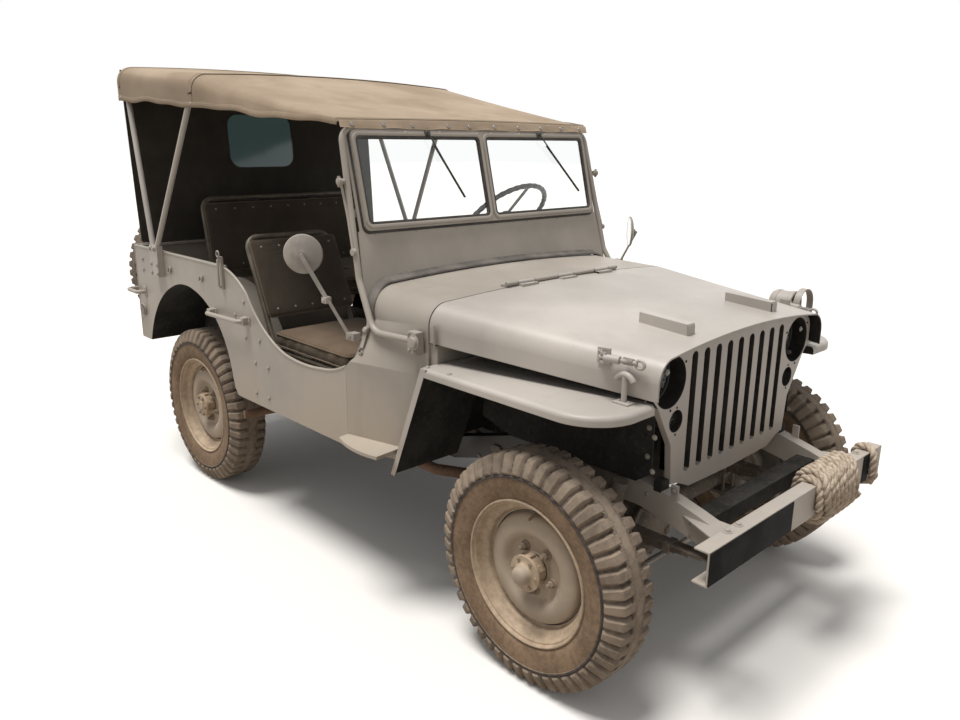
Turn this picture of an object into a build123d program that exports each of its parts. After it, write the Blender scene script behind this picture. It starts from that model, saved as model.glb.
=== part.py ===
from build123d import *
import math
import os

# A light open four-wheel-drive army car: box-section tub on a ladder frame, flat-topped
# fenders, slotted grille, folding windshield and a canvas top on two tube bows.
# Millimetres. While it is built, x = 0 is the front axle's line, +X points forward, +Y to
# the car's left and z = 0 is the ground. At the end every piece is shifted so that the
# whole car is centred on the origin.

# Driving sizes: running gear
wheelbase = 2032.0
track_half = 622.5
tyre_radius = 351.0
tyre_half_width = 85.0
rim_lip_radius = 219.0
rim_half_width = 70.0
rim_seat_radius = 203.0
bar_count = 48
groove_radius = 339.0
bar_reach = 74.0
tread_band = 20.0
hub_reach = 100.0
nut_count = 5
nut_circle = 70.0
kingpin_y = 545.0
steer_arm_length = 145.0
steer_arm_inset = 0.0
spare_y = -330.0
spare_z = 885.0

# Driving sizes: frame and bumper
rail_outer_y = 371.0
rail_width = 45.0
rail_height = 82.0
rail_top_nose = 537.0
rail_top_front = 598.0
rail_top_middle = 505.0
rail_top_rear = 586.0
bumper_front_x = 489.0
bumper_depth = 45.0
bumper_top_z = 558.0
bumper_height = 98.0
bumper_half_length = 545.0
rope_proud = 38.0

# Driving sizes: body tub
body_half_width = 722.0
body_rear_x = -2556.0
body_top_z = 1038.0
body_rear_bottom_z = 590.0
sill_z = 511.0
sheet = 4.0
taper_x = -807.0
cowl_front_x = -440.0
cowl_half_width = 638.0
cowl_top_z = 1084.0
arch_top_z = 914.0
door_rear_x = -1204.0
rail_flange = 26.0

# Driving sizes: hood, grille and fenders
grille_x = 232.0
grille_depth = 20.0
slot_pitch = 64.0
slot_count = 9
slot_half_width = 15.0
slot_top_z = 976.0
slot_bottom_z = 614.0
headlamp_y = 371.0
headlamp_z = 907.0
headlamp_radius = 75.0
marker_y = 331.0
marker_z = 786.0
marker_radius = 33.0
hood_front_x = 266.0
hood_rear_x = -469.0
hood_front_half = 480.0
hood_rear_half = 638.0
hood_front_low_z = 880.0
hood_rear_low_z = 931.0
hood_front_top_z = 1019.0
hood_rear_top_z = 1069.0
hood_gap = 5.0
fender_top_z = 868.0
fender_half_width = 700.0
fender_inner_y = 405.0
fender_lip = 28.0

# Driving sizes: windshield and top
shield_lean = 0.2485
shield_ref_x = -847.0
shield_ref_z = 1238.0
shield_top_z = 1583.0
shield_half_width = 632.0
shield_tube_radius = 11.0
pane_half_width = 602.0
pane_top_z = 1567.0
bow_radius = 12.0
bow_pivot_x = -2268.0
bow_pivot_z = 1052.0
front_bow_x = -1866.0
front_bow_z = 1784.0
rear_bow_x = -2590.0
rear_bow_z = 1846.7
canvas = 5.0

# Driving sizes: seats and wheel
seat_inner_y = 232.0
seat_outer_y = 645.0
seat_front_x = -905.0
seat_rear_x = -1430.0
seat_top_z = 815.0
seat_back_top_z = 1150.0
house_inner_y = 455.0
seat_side_gap = 5.0
rear_seat_half = house_inner_y - seat_side_gap
steering_y = 345.0
steering_hub = (-1120.0, 1215.0)
steering_radius = 200.0

# Shift that centres the car's length on the origin
front_reach = bumper_front_x + rope_proud
spare_back_x = -2790.0
front_axle_x = -(front_reach + spare_back_x) / 2


def block(x0, x1, y0, y1, z0, z1):
    size = (abs(x1 - x0), abs(y1 - y0), abs(z1 - z0))
    return Pos((x0 + x1) / 2, (y0 + y1) / 2, (z0 + z1) / 2) * Box(*size)


def rod(start, end, radius):
    a = Vector(*start)
    b = Vector(*end)
    plane = Plane(origin=a, z_dir=b - a)
    return extrude(plane * Circle(radius), amount=(b - a).length)


def bent_tube(points, bends, radius):
    path = FilletPolyline(*points, radius=bends)
    start = Plane(origin=path @ 0, z_dir=path % 0)
    return sweep(start * Circle(radius), path=path)


def side_plate(outline, y0, y1):
    """A flat plate cut to an (x, z) outline, between two planes across the car."""
    curves = outline if isinstance(outline, list) else [outline]
    face = make_face([Plane.XZ * c for c in curves])
    return Pos(0, y1, 0) * extrude(face, amount=y1 - y0, dir=(0, -1, 0))


def flat_plate(curves, z0, z1):
    """A level plate cut to an (x, y) outline."""
    return Pos(0, 0, z0) * extrude(make_face(curves), amount=z1 - z0, dir=(0, 0, 1))


def loop(points):
    return Polyline(*points, close=True)


def other_side(piece):
    return mirror(piece, about=Plane.XZ)


def both_sides(piece):
    return Part() + [piece, other_side(piece)]


def shield_x(z):
    """Where the leaning windshield plane is at a height."""
    return shield_ref_x - (z - shield_ref_z) * shield_lean


def body_section(x, low_z, side_y, side_z, waist, mid, end, crown_z):
    """Closed section at x: upright sides, a straight lean-in up to the waist point,
    rounded shoulders through their middle and end points, and a slightly crowned top."""
    half = [(side_y, low_z), (side_y, side_z), waist, mid, end]
    low, side, waist, mid, end = half
    far = [(-y, z) for y, z in half]
    curves = [
        Line(far[0], low),
        Line(low, side),
        Line(side, waist),
        ThreePointArc(waist, mid, end),
        ThreePointArc(end, (0, crown_z), far[4]),
        ThreePointArc(far[4], far[3], far[2]),
        Line(far[2], far[1]),
        Line(far[1], far[0]),
    ]
    face = make_face([Plane.YZ * c for c in curves])
    return Pos(x, 0, 0) * face


# Frame: two rails of channel section, kicked up over both axles, with cross members
rail_top = [
    (bumper_front_x - bumper_depth, rail_top_nose),
    (388.0, rail_top_nose),
    (345.0, 551.0),
    (241.0, 580.0),
    (155.0, rail_top_front),
    (-330.0, rail_top_front),
    (-650.0, rail_top_middle),
    (-1600.0, rail_top_middle),
    (-1830.0, rail_top_rear),
    (body_rear_x + 6, rail_top_rear),
]
rail_loop = rail_top + [(x, z - rail_height) for x, z in reversed(rail_top)]
rail_right = side_plate(Polyline(*rail_loop, close=True), -rail_outer_y, -rail_outer_y + rail_width)
rail_inner_y = rail_outer_y - rail_width
# Columns: x centre, height of the member's middle, half depth along x, half height
cross_members = [
    (330.0, 505.0, 30.0, 24.0),
    (-520.0, 421.0, 35.0, 16.0),
    (-1500.0, 464.0, 35.0, 22.0),
    (-1900.0, 545.0, 30.0, 22.0),
    (body_rear_x + 36, 545.0, 30.0, 38.0),
]
frame = both_sides(rail_right)
for x, z, half_x, half_z in cross_members:
    frame += block(x - half_x, x + half_x, -rail_inner_y, rail_inner_y, z - half_z, z + half_z)
# The member under the gearbox hangs from the rails by a post at each end,
frame += both_sides(block(-555, -485, -rail_inner_y, -rail_inner_y + 24, 405, 500))
# and is notched over the front drive shaft
frame -= rod((-817, -165, 420), (-154, -165, 359), 30)
# Gussets that carry the bumper, spreading from each rail's nose
bumper_back = bumper_front_x - bumper_depth
gusset = flat_plate(loop([(bumper_back, -rail_outer_y), (bumper_back, -rail_outer_y - 70),
                          (300, -rail_outer_y)]), rail_top_nose - 5, rail_top_nose)
horn_hook = block(258, 280, -rail_outer_y, -rail_outer_y + 8, 560, 614)
frame += both_sides(gusset)
frame += both_sides(horn_hook)

# Front bumper: a straight channel with its flanges turned back
bumper = block(bumper_back, bumper_front_x, -bumper_half_length, bumper_half_length,
               bumper_top_z - bumper_height, bumper_top_z)
bumper -= block(bumper_back - 1, bumper_front_x - 5, -bumper_half_length - 1,
                bumper_half_length + 1, bumper_top_z - bumper_height + 5, bumper_top_z - 5)

# Rope wound round the bumper left of centre, and one loop near its left end
wrap_clear = 0.3


def rope_sleeve(y0, y1, proud):
    outer = block(bumper_back - proud * 0.7, bumper_front_x + proud, y0, y1,
                  bumper_top_z - bumper_height - proud, bumper_top_z + proud)
    outer = fillet(outer.edges().filter_by(Axis.Y), proud * 0.6)
    inner = block(bumper_back - wrap_clear, bumper_front_x + wrap_clear, y0 - 1, y1 + 1,
                  bumper_top_z - bumper_height - wrap_clear, bumper_top_z + wrap_clear)
    return outer - inner


rope = Part() + [rope_sleeve(40, 315, rope_proud), rope_sleeve(446, 480, 28)]

# Grille: one pressed plate with nine upright slots, lamp holes and tapering sides
grille_half = [
    (0, 557), (236, 562), (300, 590), (335, 596), (348, 716), (426, 844), (464, 884), (464, 930),
]
right_edge = [(y, z) for y, z in grille_half]
left_edge = [(-y, z) for y, z in reversed(grille_half)]
top_shoulder = (420, 985)
grille_curves = [
    Polyline(*right_edge),
    ThreePointArc((464, 930), (452, 966), top_shoulder),
    ThreePointArc(top_shoulder, (0, 1008), (-420, 985)),
    ThreePointArc((-420, 985), (-452, 966), (-464, 930)),
    Polyline(*left_edge),
]
grille_face = make_face([Plane.YZ * c for c in grille_curves])
grille = Pos(grille_x - grille_depth, 0, 0) * extrude(grille_face, amount=grille_depth)
slot_span = slot_top_z - slot_bottom_z
slot_mid_z = (slot_top_z + slot_bottom_z) / 2
for k in range(slot_count):
    y = (k - (slot_count - 1) / 2) * slot_pitch
    slot = Plane.YZ * Pos(y, slot_mid_z) * Rot(0, 0, 90) * SlotOverall(slot_span, 2 * slot_half_width)
    grille -= Pos(grille_x - grille_depth - 1, 0, 0) * extrude(slot, amount=grille_depth + 2)
# Columns: y, z and radius of each round hole
lamp_holes = [
    (headlamp_y, headlamp_z, headlamp_radius),
    (-headlamp_y, headlamp_z, headlamp_radius),
    (marker_y, marker_z, marker_radius),
    (-marker_y, marker_z, marker_radius),
]
for y, z, radius in lamp_holes:
    grille -= rod((grille_x - grille_depth - 1, y, z), (grille_x + 1, y, z), radius)

# Radiator: core and tank behind the grille
radiator = block(150, 196, -270, 270, 600, 930)
radiator += block(146, grille_x - grille_depth - 0.3, -285, 285, 930, 985)

# Lamps: two sealed headlamps and two marker lamps behind the grille, and the hooded
# driving lamp on the left fender under its guard hoop


def lamp_bowl(y, z, radius, front_x, depth):
    bowl = [(0, 0), (0, radius), (-6, radius), (-depth * 0.75, radius * 0.55), (-depth, radius * 0.3), (-depth, 0)]
    face = make_face(Plane.XY * Polyline(*bowl, close=True))
    return Pos(front_x, y, z) * revolve(face, axis=Axis.X)


lamps = Part()
for side in (1, -1):
    lamps += lamp_bowl(side * headlamp_y, headlamp_z, headlamp_radius - 0.3, grille_x - 8, 62)
    lamps += lamp_bowl(side * marker_y, marker_z, marker_radius - 0.3, grille_x - 6, 40)
night_lamp_x = 50.0
night_lamp_y = 640.0
night_lamp_z = 968.0
night_lamp = rod((night_lamp_x - 46, night_lamp_y, night_lamp_z), (night_lamp_x + 40, night_lamp_y, night_lamp_z), 44)
night_lamp = fillet(night_lamp.edges().group_by(Axis.X)[0], 28)
night_lamp += block(night_lamp_x - 12, night_lamp_x + 12, night_lamp_y - 12, night_lamp_y + 12,
                    fender_top_z + 0.3, night_lamp_z - 30)
hoop_x = night_lamp_x + 52
hoop_in_y = night_lamp_y - 50
hoop_out_y = night_lamp_y + 38
hoop_top_z = night_lamp_z + 62
hoop = bent_tube([(hoop_x, hoop_in_y, fender_top_z + 0.3), (hoop_x, hoop_in_y, hoop_top_z),
                  (hoop_x, hoop_out_y, hoop_top_z), (hoop_x, hoop_out_y, fender_top_z + 0.3)], 42, 6)
lamps += night_lamp
lamps += hoop

# Fenders: flat top, rounded front corner, turned-down lip and a straight apron behind
apron_top_x = -440.0
apron_low_x = -600.0
apron_low_z = 468.0
fender_front_x = grille_x - grille_depth - 0.3
plan_curves = [
    Line((apron_top_x, -fender_inner_y), (apron_top_x, -fender_half_width)),
    Line((apron_top_x, -fender_half_width), (110, -fender_half_width)),
    ThreePointArc((110, -fender_half_width), (212, -655), (252, -540)),
    Line((252, -540), (252, -470)),
    Line((252, -470), (fender_front_x, -466)),
    Line((fender_front_x, -466), (fender_front_x, -fender_inner_y)),
    Line((fender_front_x, -fender_inner_y), (apron_top_x, -fender_inner_y)),
]
fender = flat_plate(plan_curves, fender_top_z - fender_lip, fender_top_z)
rim_edges = fender.edges().group_by(Axis.Z)[-1].filter_by(
    lambda e: (e @ 0.5).Y < -500 and (e @ 0.5).X > apron_top_x + 5)
fender = fillet(rim_edges, 14)
hollow_plan = [
    Line((apron_top_x - 1, -fender_inner_y + 5), (apron_top_x - 1, -fender_half_width + sheet)),
    Line((apron_top_x - 1, -fender_half_width + sheet), (108, -fender_half_width + sheet)),
    ThreePointArc((108, -fender_half_width + sheet), (208, -651), (247, -540)),
    Line((247, -540), (247, -fender_inner_y + 5)),
    Line((247, -fender_inner_y + 5), (apron_top_x - 1, -fender_inner_y + 5)),
]
fender -= flat_plate(hollow_plan, fender_top_z - fender_lip - 1, fender_top_z - sheet)
apron_outline = Polyline(
    (apron_top_x, fender_top_z - 1), (apron_top_x + 26, fender_top_z - 1), (apron_low_x + 22, apron_low_z),
    (apron_low_x, apron_low_z), close=True)
apron_skin = side_plate(
    Polyline((apron_top_x, fender_top_z - 1), (apron_top_x + sheet + 1, fender_top_z - 1),
             (apron_low_x + sheet + 1, apron_low_z), (apron_low_x, apron_low_z), close=True),
    -fender_half_width + 1, -fender_inner_y)
apron_lip = side_plate(apron_outline, -fender_half_width, -fender_half_width + sheet)
skirt = side_plate(
    Polyline((apron_top_x, fender_top_z), (fender_front_x, fender_top_z), (fender_front_x, 640), (160, 604), (-330, 604),
             (apron_top_x - 30, 640), close=True),
    -fender_inner_y, -fender_inner_y + sheet)
fender_right = fender + apron_skin + apron_lip + skirt
# The fender makes room for the headlamp's bowl behind the grille
fender_right -= block(160, 240, -452, -fender_inner_y + sheet + 1, 820, 900)
fender_left = other_side(fender_right)

# Hood: a tapering skin with rounded shoulders, hinged along its rear edge
front_section = dict(low_z=hood_front_low_z, side_y=hood_front_half, side_z=900, waist=(hood_front_half, 930),
                     mid=(466, 968), end=(428, 992), crown_z=hood_front_top_z)
rear_section = dict(low_z=hood_rear_low_z, side_y=hood_rear_half, side_z=950, waist=(hood_rear_half, 980),
                    mid=(619, 1029), end=(565, 1052), crown_z=hood_rear_top_z)


def inset(section, t):
    """The same section moved in by a wall thickness and opened downwards."""
    waist_y, waist_z = section["waist"]
    mid_y, mid_z = section["mid"]
    end_y, end_z = section["end"]
    return dict(low_z=section["low_z"] - 20, side_y=section["side_y"] - t, side_z=section["side_z"],
                waist=(waist_y - t, waist_z - t * 0.2), mid=(mid_y - t * 0.8, mid_z - t * 0.6),
                end=(end_y - t * 0.2, end_z - t), crown_z=section["crown_z"] - t)


def section_face(x, section):
    return body_section(x, **section)


hood = loft([section_face(hood_rear_x, rear_section), section_face(hood_front_x, front_section)], ruled=True)
hood_slope = (hood_front_low_z - hood_rear_low_z) / (hood_front_x - hood_rear_x)


def run_on(front, rear, x):
    """A section on the straight line between the two hood sections, at any x."""
    t = (x - hood_rear_x) / (hood_front_x - hood_rear_x)

    def mix(a, b):
        if isinstance(a, tuple):
            return tuple(p + (q - p) * t for p, q in zip(a, b))
        return a + (b - a) * t
    return {key: mix(rear[key], front[key]) for key in front}


inner_front = run_on(inset(front_section, sheet), inset(rear_section, sheet), hood_front_x + 10)
inner_rear = run_on(inset(front_section, sheet), inset(rear_section, sheet), hood_rear_x - 10)
hood -= loft([section_face(hood_rear_x - 10, inner_rear), section_face(hood_front_x + 10, inner_front)],
             ruled=True)
# Two wooden blocks that carry the windshield when it lies folded
block_front_x = 206.0
block_back_x = 40.0
for side in (1, -1):
    pad = block(block_back_x, block_front_x, side * 227, side * 259, 1002, 1044)
    pad = fillet(pad.edges().filter_by(Axis.X).group_by(Axis.Z)[-1], 5)
    hood += pad
# Long hinge: eyes of the hood and lugs of the cowl take turns along one pin
hinge_x = hood_rear_x - hood_gap / 2
hinge_z = hood_rear_top_z + 7
hinge_pin_radius = 4.0
hinge_fit = 0.05
hinge_eye_radius = 7.0
hinge_half = 300.0


def hinge_barrel(y0, y1, toward):
    eye = rod((hinge_x, y0, hinge_z), (hinge_x, y1, hinge_z), hinge_eye_radius)
    leaf = block(hinge_x, hinge_x + toward * 26, y0, y1, hinge_z - 15, hinge_z - 3)
    return eye + leaf


hood_eyes = [(-245, -165), (-40, 40), (165, 245)]
cowl_lugs = [(-hinge_half, -248), (-162, -43), (43, 162), (248, hinge_half)]
pin_hole = rod((hinge_x, -hinge_half - 1, hinge_z), (hinge_x, hinge_half + 1, hinge_z), hinge_pin_radius + hinge_fit)
for y0, y1 in hood_eyes:
    hood += hinge_barrel(y0, y1, 1)
hood -= pin_hole

# Cowl: from the hood's rear edge to the windshield, its sides flaring out to the tub
cowl_rear_x = taper_x
flare = dict(low_z=sill_z, side_y=body_half_width, side_z=820, waist=(640, 957),
             mid=(612, 1035), end=(545, 1067), crown_z=cowl_top_z)
neck = dict(low_z=sill_z, side_y=cowl_half_width, side_z=820, waist=(cowl_half_width, 980),
            mid=(619, 1029), end=(565, 1052), crown_z=hood_rear_top_z)
cowl_neck_x = hood_rear_x - hood_gap


def cowl_solid(t):
    a = flare if t == 0 else inset(flare, t)
    b = neck if t == 0 else inset(neck, t)
    return loft([section_face(cowl_rear_x, a), section_face(cowl_neck_x, b)], ruled=True)


cowl = cowl_solid(0) - cowl_solid(sheet)
wall = dict(inset(neck, sheet / 2), low_z=sill_z)
firewall = extrude(section_face(cowl_neck_x - sheet, wall), amount=sheet, dir=(1, 0, 0))
nose_half = cowl_half_width - 8
nose_top_z = 925.0
nose = block(cowl_neck_x - 1, cowl_front_x, -nose_half, nose_half, sill_z, nose_top_z)
nose -= block(cowl_neck_x - 2, cowl_front_x - sheet, -nose_half + sheet, nose_half - sheet,
              sill_z - 1, nose_top_z - sheet)
cowl += firewall
cowl += nose
for y0, y1 in cowl_lugs:
    cowl += hinge_barrel(y0, y1, -1)
cowl += rod((hinge_x, -hinge_half, hinge_z), (hinge_x, hinge_half, hinge_z), hinge_pin_radius)
# Below the fender's top the cowl's front edge slants back, just behind the apron
apron_gap = 0.3
apron_slope = (apron_top_x - apron_low_x) / (fender_top_z - 1 - apron_low_z)
slant_low_x = apron_top_x - (fender_top_z - 300) * apron_slope
slant_cut = side_plate(loop([(apron_top_x - apron_gap, fender_top_z + 1), (0, fender_top_z + 1), (0, 300),
                             (slant_low_x - apron_gap, 300)]), -900, 900)
cowl -= slant_cut
# The gearbox and the toe board's tunnel pass under the firewall
toe_top = (-480.0, 790.0)
toe_low = (-640.0, 515.0)
cowl -= block(-700, -400, -nose_half + sheet, nose_half - sheet, 400, toe_top[1] - 12)
# Dash: the flat rear face under the windshield
dash_wall = extrude(section_face(cowl_rear_x, inset(flare, sheet / 2)), amount=sheet, dir=(1, 0, 0))
dash_wall -= block(-900, -700, -800, 800, 400, 880)
cowl += dash_wall
door_front = loop([(-1000, 1200), (-845, 1200), (-783, 950), (-776, 900), (-776, 836), (-809, 799),
                   (-884, 770), (-1000, 757)])
cowl -= side_plate(door_front, -900, -body_half_width + 90)
cowl -= side_plate(door_front, body_half_width - 90, 900)

# Body sides: outline of the side with its low entry, wheel arch and rear corner
seam = 0.3
arch_front = (-1616.0, 536.0)
arch_rear = (-2452.0, body_rear_bottom_z)
# Rows of the arch: end point, then the middle point of the arc that leads to it
arch_rows = [
    ((-1650.0, 660.0), None),
    ((-1930.0, 903.0), (-1762.0, 820.0)),
    ((-2160.0, 888.0), (-2050.0, arch_top_z)),
    (arch_rear, (-2345.0, 768.0)),
]
arch_centre = (-2040.0, 560.0)


def grow(point, by):
    """Move a point of the arch away from the arch's centre."""
    dx = point[0] - arch_centre[0]
    dz = point[1] - arch_centre[1]
    k = 1 + by / math.hypot(dx, dz)
    return (arch_centre[0] + dx * k, arch_centre[1] + dz * k)


def arch_curves(by):
    here = grow(arch_front, by)
    curves = []
    for end, mid in arch_rows:
        end = grow(end, by)
        curves.append(Line(here, end) if mid is None else ThreePointArc(here, grow(mid, by), end))
        here = end
    return curves


side_curves = [
    Line((body_rear_x, body_rear_bottom_z), (body_rear_x, body_top_z)),
    Line((body_rear_x, body_top_z), (-1665, body_top_z)),
    ThreePointArc((-1665, body_top_z), (-1560, 1008), (-1470, 948)),
    ThreePointArc((-1470, 948), (-1330, 815), (door_rear_x, 762)),
    ThreePointArc((door_rear_x, 762), (-1082, 751), (-960, 759)),
    ThreePointArc((-960, 759), (-884, 771), (taper_x, 800)),
    Line((taper_x, 800), (taper_x, sill_z)),
    Line((taper_x, sill_z), (-1588, sill_z)),
    Line((-1588, sill_z), arch_front),
    Line(arch_rear, (body_rear_x, body_rear_bottom_z)),
] + arch_curves(0)
side_skin = side_plate(side_curves, -body_half_width, -body_half_width + sheet)
top_flange = block(body_rear_x + sheet + seam, -1665, -body_half_width, -body_half_width + rail_flange,
                   body_top_z - 10, body_top_z)
# Wheelhouse: the arch carried inwards as a shelf with an inner wall
house_strip = side_plate(arch_curves(0) + [Line(grow(arch_front, 0), grow(arch_front, sheet)),
                                           Line(grow(arch_rear, 0), grow(arch_rear, sheet))]
                         + arch_curves(sheet), -body_half_width, -house_inner_y)
house_wall = side_plate(arch_curves(sheet) + [Line(grow(arch_front, sheet), grow(arch_rear, sheet))],
                        -house_inner_y, -house_inner_y + sheet)
side_right = side_skin + top_flange + house_strip + house_wall
side_left = other_side(side_right)

# Rear panel: closes the tub behind, between the two sides
rear_inner = body_half_width - sheet - seam
rear_panel = block(body_rear_x, body_rear_x + sheet, -rear_inner, rear_inner, body_rear_bottom_z, body_top_z)
rear_flange_half = body_half_width - rail_flange - seam
rear_panel += block(body_rear_x, body_rear_x + rail_flange, -rear_flange_half, rear_flange_half,
                    body_top_z - 10, body_top_z)

# Floor: front floor with tunnel, toe board, and the raised rear floor
floor_z = sill_z
floor_inner = body_half_width - sheet - seam
floor_back_x = -1612.0
tunnel_half = 140.0
tunnel_back_x = -1000.0
tunnel_top_z = 640.0
toe_half = 612.0
toe_at_tunnel_x = toe_low[0] + (tunnel_top_z - toe_low[1]) * (toe_top[0] - toe_low[0]) / (toe_top[1] - toe_low[1])
floor = block(floor_back_x, taper_x - seam, -floor_inner, floor_inner, floor_z, floor_z + sheet)
floor += block(taper_x - 1, toe_low[0], -toe_half, toe_half, floor_z, floor_z + sheet)
floor -= block(tunnel_back_x, -400, -tunnel_half + sheet, tunnel_half - sheet, floor_z - 1, floor_z + sheet + 1)
toe = side_plate(loop([(toe_low[0], floor_z), (toe_low[0] - sheet, floor_z + sheet), (toe_top[0] - sheet, toe_top[1]),
                       (toe_top[0], toe_top[1])]), -toe_half, toe_half)
toe -= block(-700, -400, -tunnel_half + sheet, tunnel_half - sheet, 400, tunnel_top_z - sheet)
tunnel = block(tunnel_back_x, toe_at_tunnel_x, -tunnel_half, tunnel_half, floor_z, tunnel_top_z)
tunnel -= block(tunnel_back_x + sheet, -400, -tunnel_half + sheet, tunnel_half - sheet,
                floor_z - 1, tunnel_top_z - sheet)
rear_floor_z = 596.0
rear_floor_half = house_inner_y - sheet - seam
rear_floor = block(body_rear_x + sheet + seam, floor_back_x, -rear_floor_half, rear_floor_half,
                   rear_floor_z, rear_floor_z + sheet)
step_wall = block(floor_back_x - sheet, floor_back_x, -rear_floor_half, rear_floor_half, floor_z,
                  rear_floor_z + sheet)
floor = floor + tunnel + toe + rear_floor + step_wall

# Windshield frame: outer tube with forward-curving feet, lower panel and pane surround
tube_y = shield_half_width - shield_tube_radius
tube_top_z = shield_top_z - shield_tube_radius
pivot = (-497.0, 662.0, 934.0)
shield_tube = bent_tube(
    [(pivot[0], -pivot[1], pivot[2]), (-712.0, -673.0, 928.0), (shield_x(1085), -655.0, 1085.0),
     (shield_x(tube_top_z), -tube_y - 5, tube_top_z), (shield_x(tube_top_z), tube_y + 5, tube_top_z),
     (shield_x(1085), 655.0, 1085.0), (-712.0, 673.0, 928.0), (pivot[0], pivot[1], pivot[2])],
    [70, 60, 45, 45, 60, 70], shield_tube_radius)
sheet_plane = Plane(origin=(shield_x(0), 0, 0), x_dir=(0, 1, 0), z_dir=(1, 0, shield_lean))
slant = math.sqrt(1 + shield_lean ** 2)


def on_shield(y, z):
    """Local coordinates of a point of the windshield's plane."""
    return (y, z * slant)


panel_curves = [
    Line(on_shield(-650, 1000), on_shield(-628, 1240)),
    Line(on_shield(-628, 1240), on_shield(628, 1240)),
    Line(on_shield(628, 1240), on_shield(650, 1000)),
    Line(on_shield(650, 1000), on_shield(641, 1000)),
    ThreePointArc(on_shield(641, 1000), on_shield(617, 1046), on_shield(550, 1075)),
    ThreePointArc(on_shield(550, 1075), on_shield(0, 1092), on_shield(-550, 1075)),
    ThreePointArc(on_shield(-550, 1075), on_shield(-617, 1046), on_shield(-641, 1000)),
    Line(on_shield(-641, 1000), on_shield(-650, 1000)),
]
lower_panel = extrude(sheet_plane * make_face(panel_curves), amount=3)
surround = Plane(origin=sheet_plane.from_local_coords((0, (pane_top_z + shield_ref_z) / 2 * slant, 0)),
                 x_dir=(0, 1, 0), z_dir=(1, 0, shield_lean))
pane_height = (pane_top_z - shield_ref_z) * slant
member = 26.0
surround_ring = extrude(surround * RectangleRounded(2 * pane_half_width, pane_height, 22), amount=14)
for side in (1, -1):
    hole = surround * Pos(side * pane_half_width / 2, 0) * RectangleRounded(
        pane_half_width - 1.5 * member, pane_height - 2 * member, 14)
    surround_ring -= extrude(hole, amount=30, both=True)
filler = extrude(surround * Rectangle(2 * tube_y, pane_height + 6), amount=3)
filler -= extrude(surround * Rectangle(2 * pane_half_width - 8, pane_height - 8), amount=10, both=True)
shield = shield_tube + lower_panel + surround_ring + filler
# Pivot brackets on the cowl's sides
shield_foot = block(pivot[0] - 34, pivot[0] + 10, -pivot[1] - 14, -646, pivot[2] - 40, pivot[2] + 30)
shield += both_sides(shield_foot)
glass = Part()
for side in (1, -1):
    pane = surround * Pos(side * pane_half_width / 2, 0, 4.5) * RectangleRounded(
        pane_half_width - 1.5 * member - 0.6, pane_height - 2 * member - 0.6, 13.7)
    glass += extrude(pane, amount=5)

# Top bows: two U-shaped tubes on one pivot bracket at each side
bow_y = body_half_width + bow_radius + 4
bow_top_y = 676.0


def bow(foot_x, foot_z, top_x, top_z):
    points = [(foot_x, -bow_y, foot_z), (top_x, -bow_top_y, top_z), (top_x, bow_top_y, top_z), (foot_x, bow_y, foot_z)]
    return bent_tube(points, 90, bow_radius)


canvas_gap = 1.0
front_bow = bow(bow_pivot_x + 18, bow_pivot_z, front_bow_x, front_bow_z - bow_radius - canvas_gap)
rear_bow = bow(bow_pivot_x - 18, bow_pivot_z, rear_bow_x, rear_bow_z - bow_radius - canvas_gap)
bracket = block(bow_pivot_x - 38, bow_pivot_x + 42, -bow_y - 12, -body_half_width - 0.3, 925, bow_pivot_z + 14)
bows = Part() + [front_bow + rear_bow + bracket + other_side(bracket)]

# Canvas top: one sheet over windshield and bows, with side flaps and a rear curtain
# Columns: x, half width, hem height, shoulder height, crown height, corner radius
canvas_rows = [
    (shield_x(shield_top_z) - 4, 640.0, 1578.0, 1600.0, 1606.0, 12.0),
    (front_bow_x, 706.0, 1650.0, 1786.0, 1804.0, 70.0),
    (rear_bow_x - 16, 708.0, 1694.0, 1850.0, 1866.0, 70.0),
]


def canvas_face(x, half, hem, top, crown, r):
    """A ribbon across the car: outer line up, over and down, and the inner one back."""
    t = canvas
    k = r * (1 - math.sqrt(0.5))
    q = max(r - t, 2.0)
    j = q * (1 - math.sqrt(0.5))
    out_half = half
    in_half = half - t
    in_top = top - t
    curves = [
        Line((-out_half, hem), (-out_half, top - r)),
        ThreePointArc((-out_half, top - r), (-out_half + k, top - k), (-out_half + r, top)),
        ThreePointArc((-out_half + r, top), (0, crown), (out_half - r, top)),
        ThreePointArc((out_half - r, top), (out_half - k, top - k), (out_half, top - r)),
        Line((out_half, top - r), (out_half, hem)),
        Line((out_half, hem), (in_half, hem)),
        Line((in_half, hem), (in_half, in_top - q)),
        ThreePointArc((in_half, in_top - q), (in_half - j, in_top - j), (in_half - q, in_top)),
        ThreePointArc((in_half - q, in_top), (0, crown - t), (-in_half + q, in_top)),
        ThreePointArc((-in_half + q, in_top), (-in_half + j, in_top - j), (-in_half, in_top - q)),
        Line((-in_half, in_top - q), (-in_half, hem)),
        Line((-in_half, hem), (-out_half, hem)),
    ]
    return Pos(x, 0, 0) * make_face([Plane.YZ * c for c in curves])


roof_faces = [canvas_face(*row) for row in canvas_rows]
canvas_top = loft([roof_faces[0], roof_faces[1]], ruled=True) + loft([roof_faces[1], roof_faces[2]], ruled=True)

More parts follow.
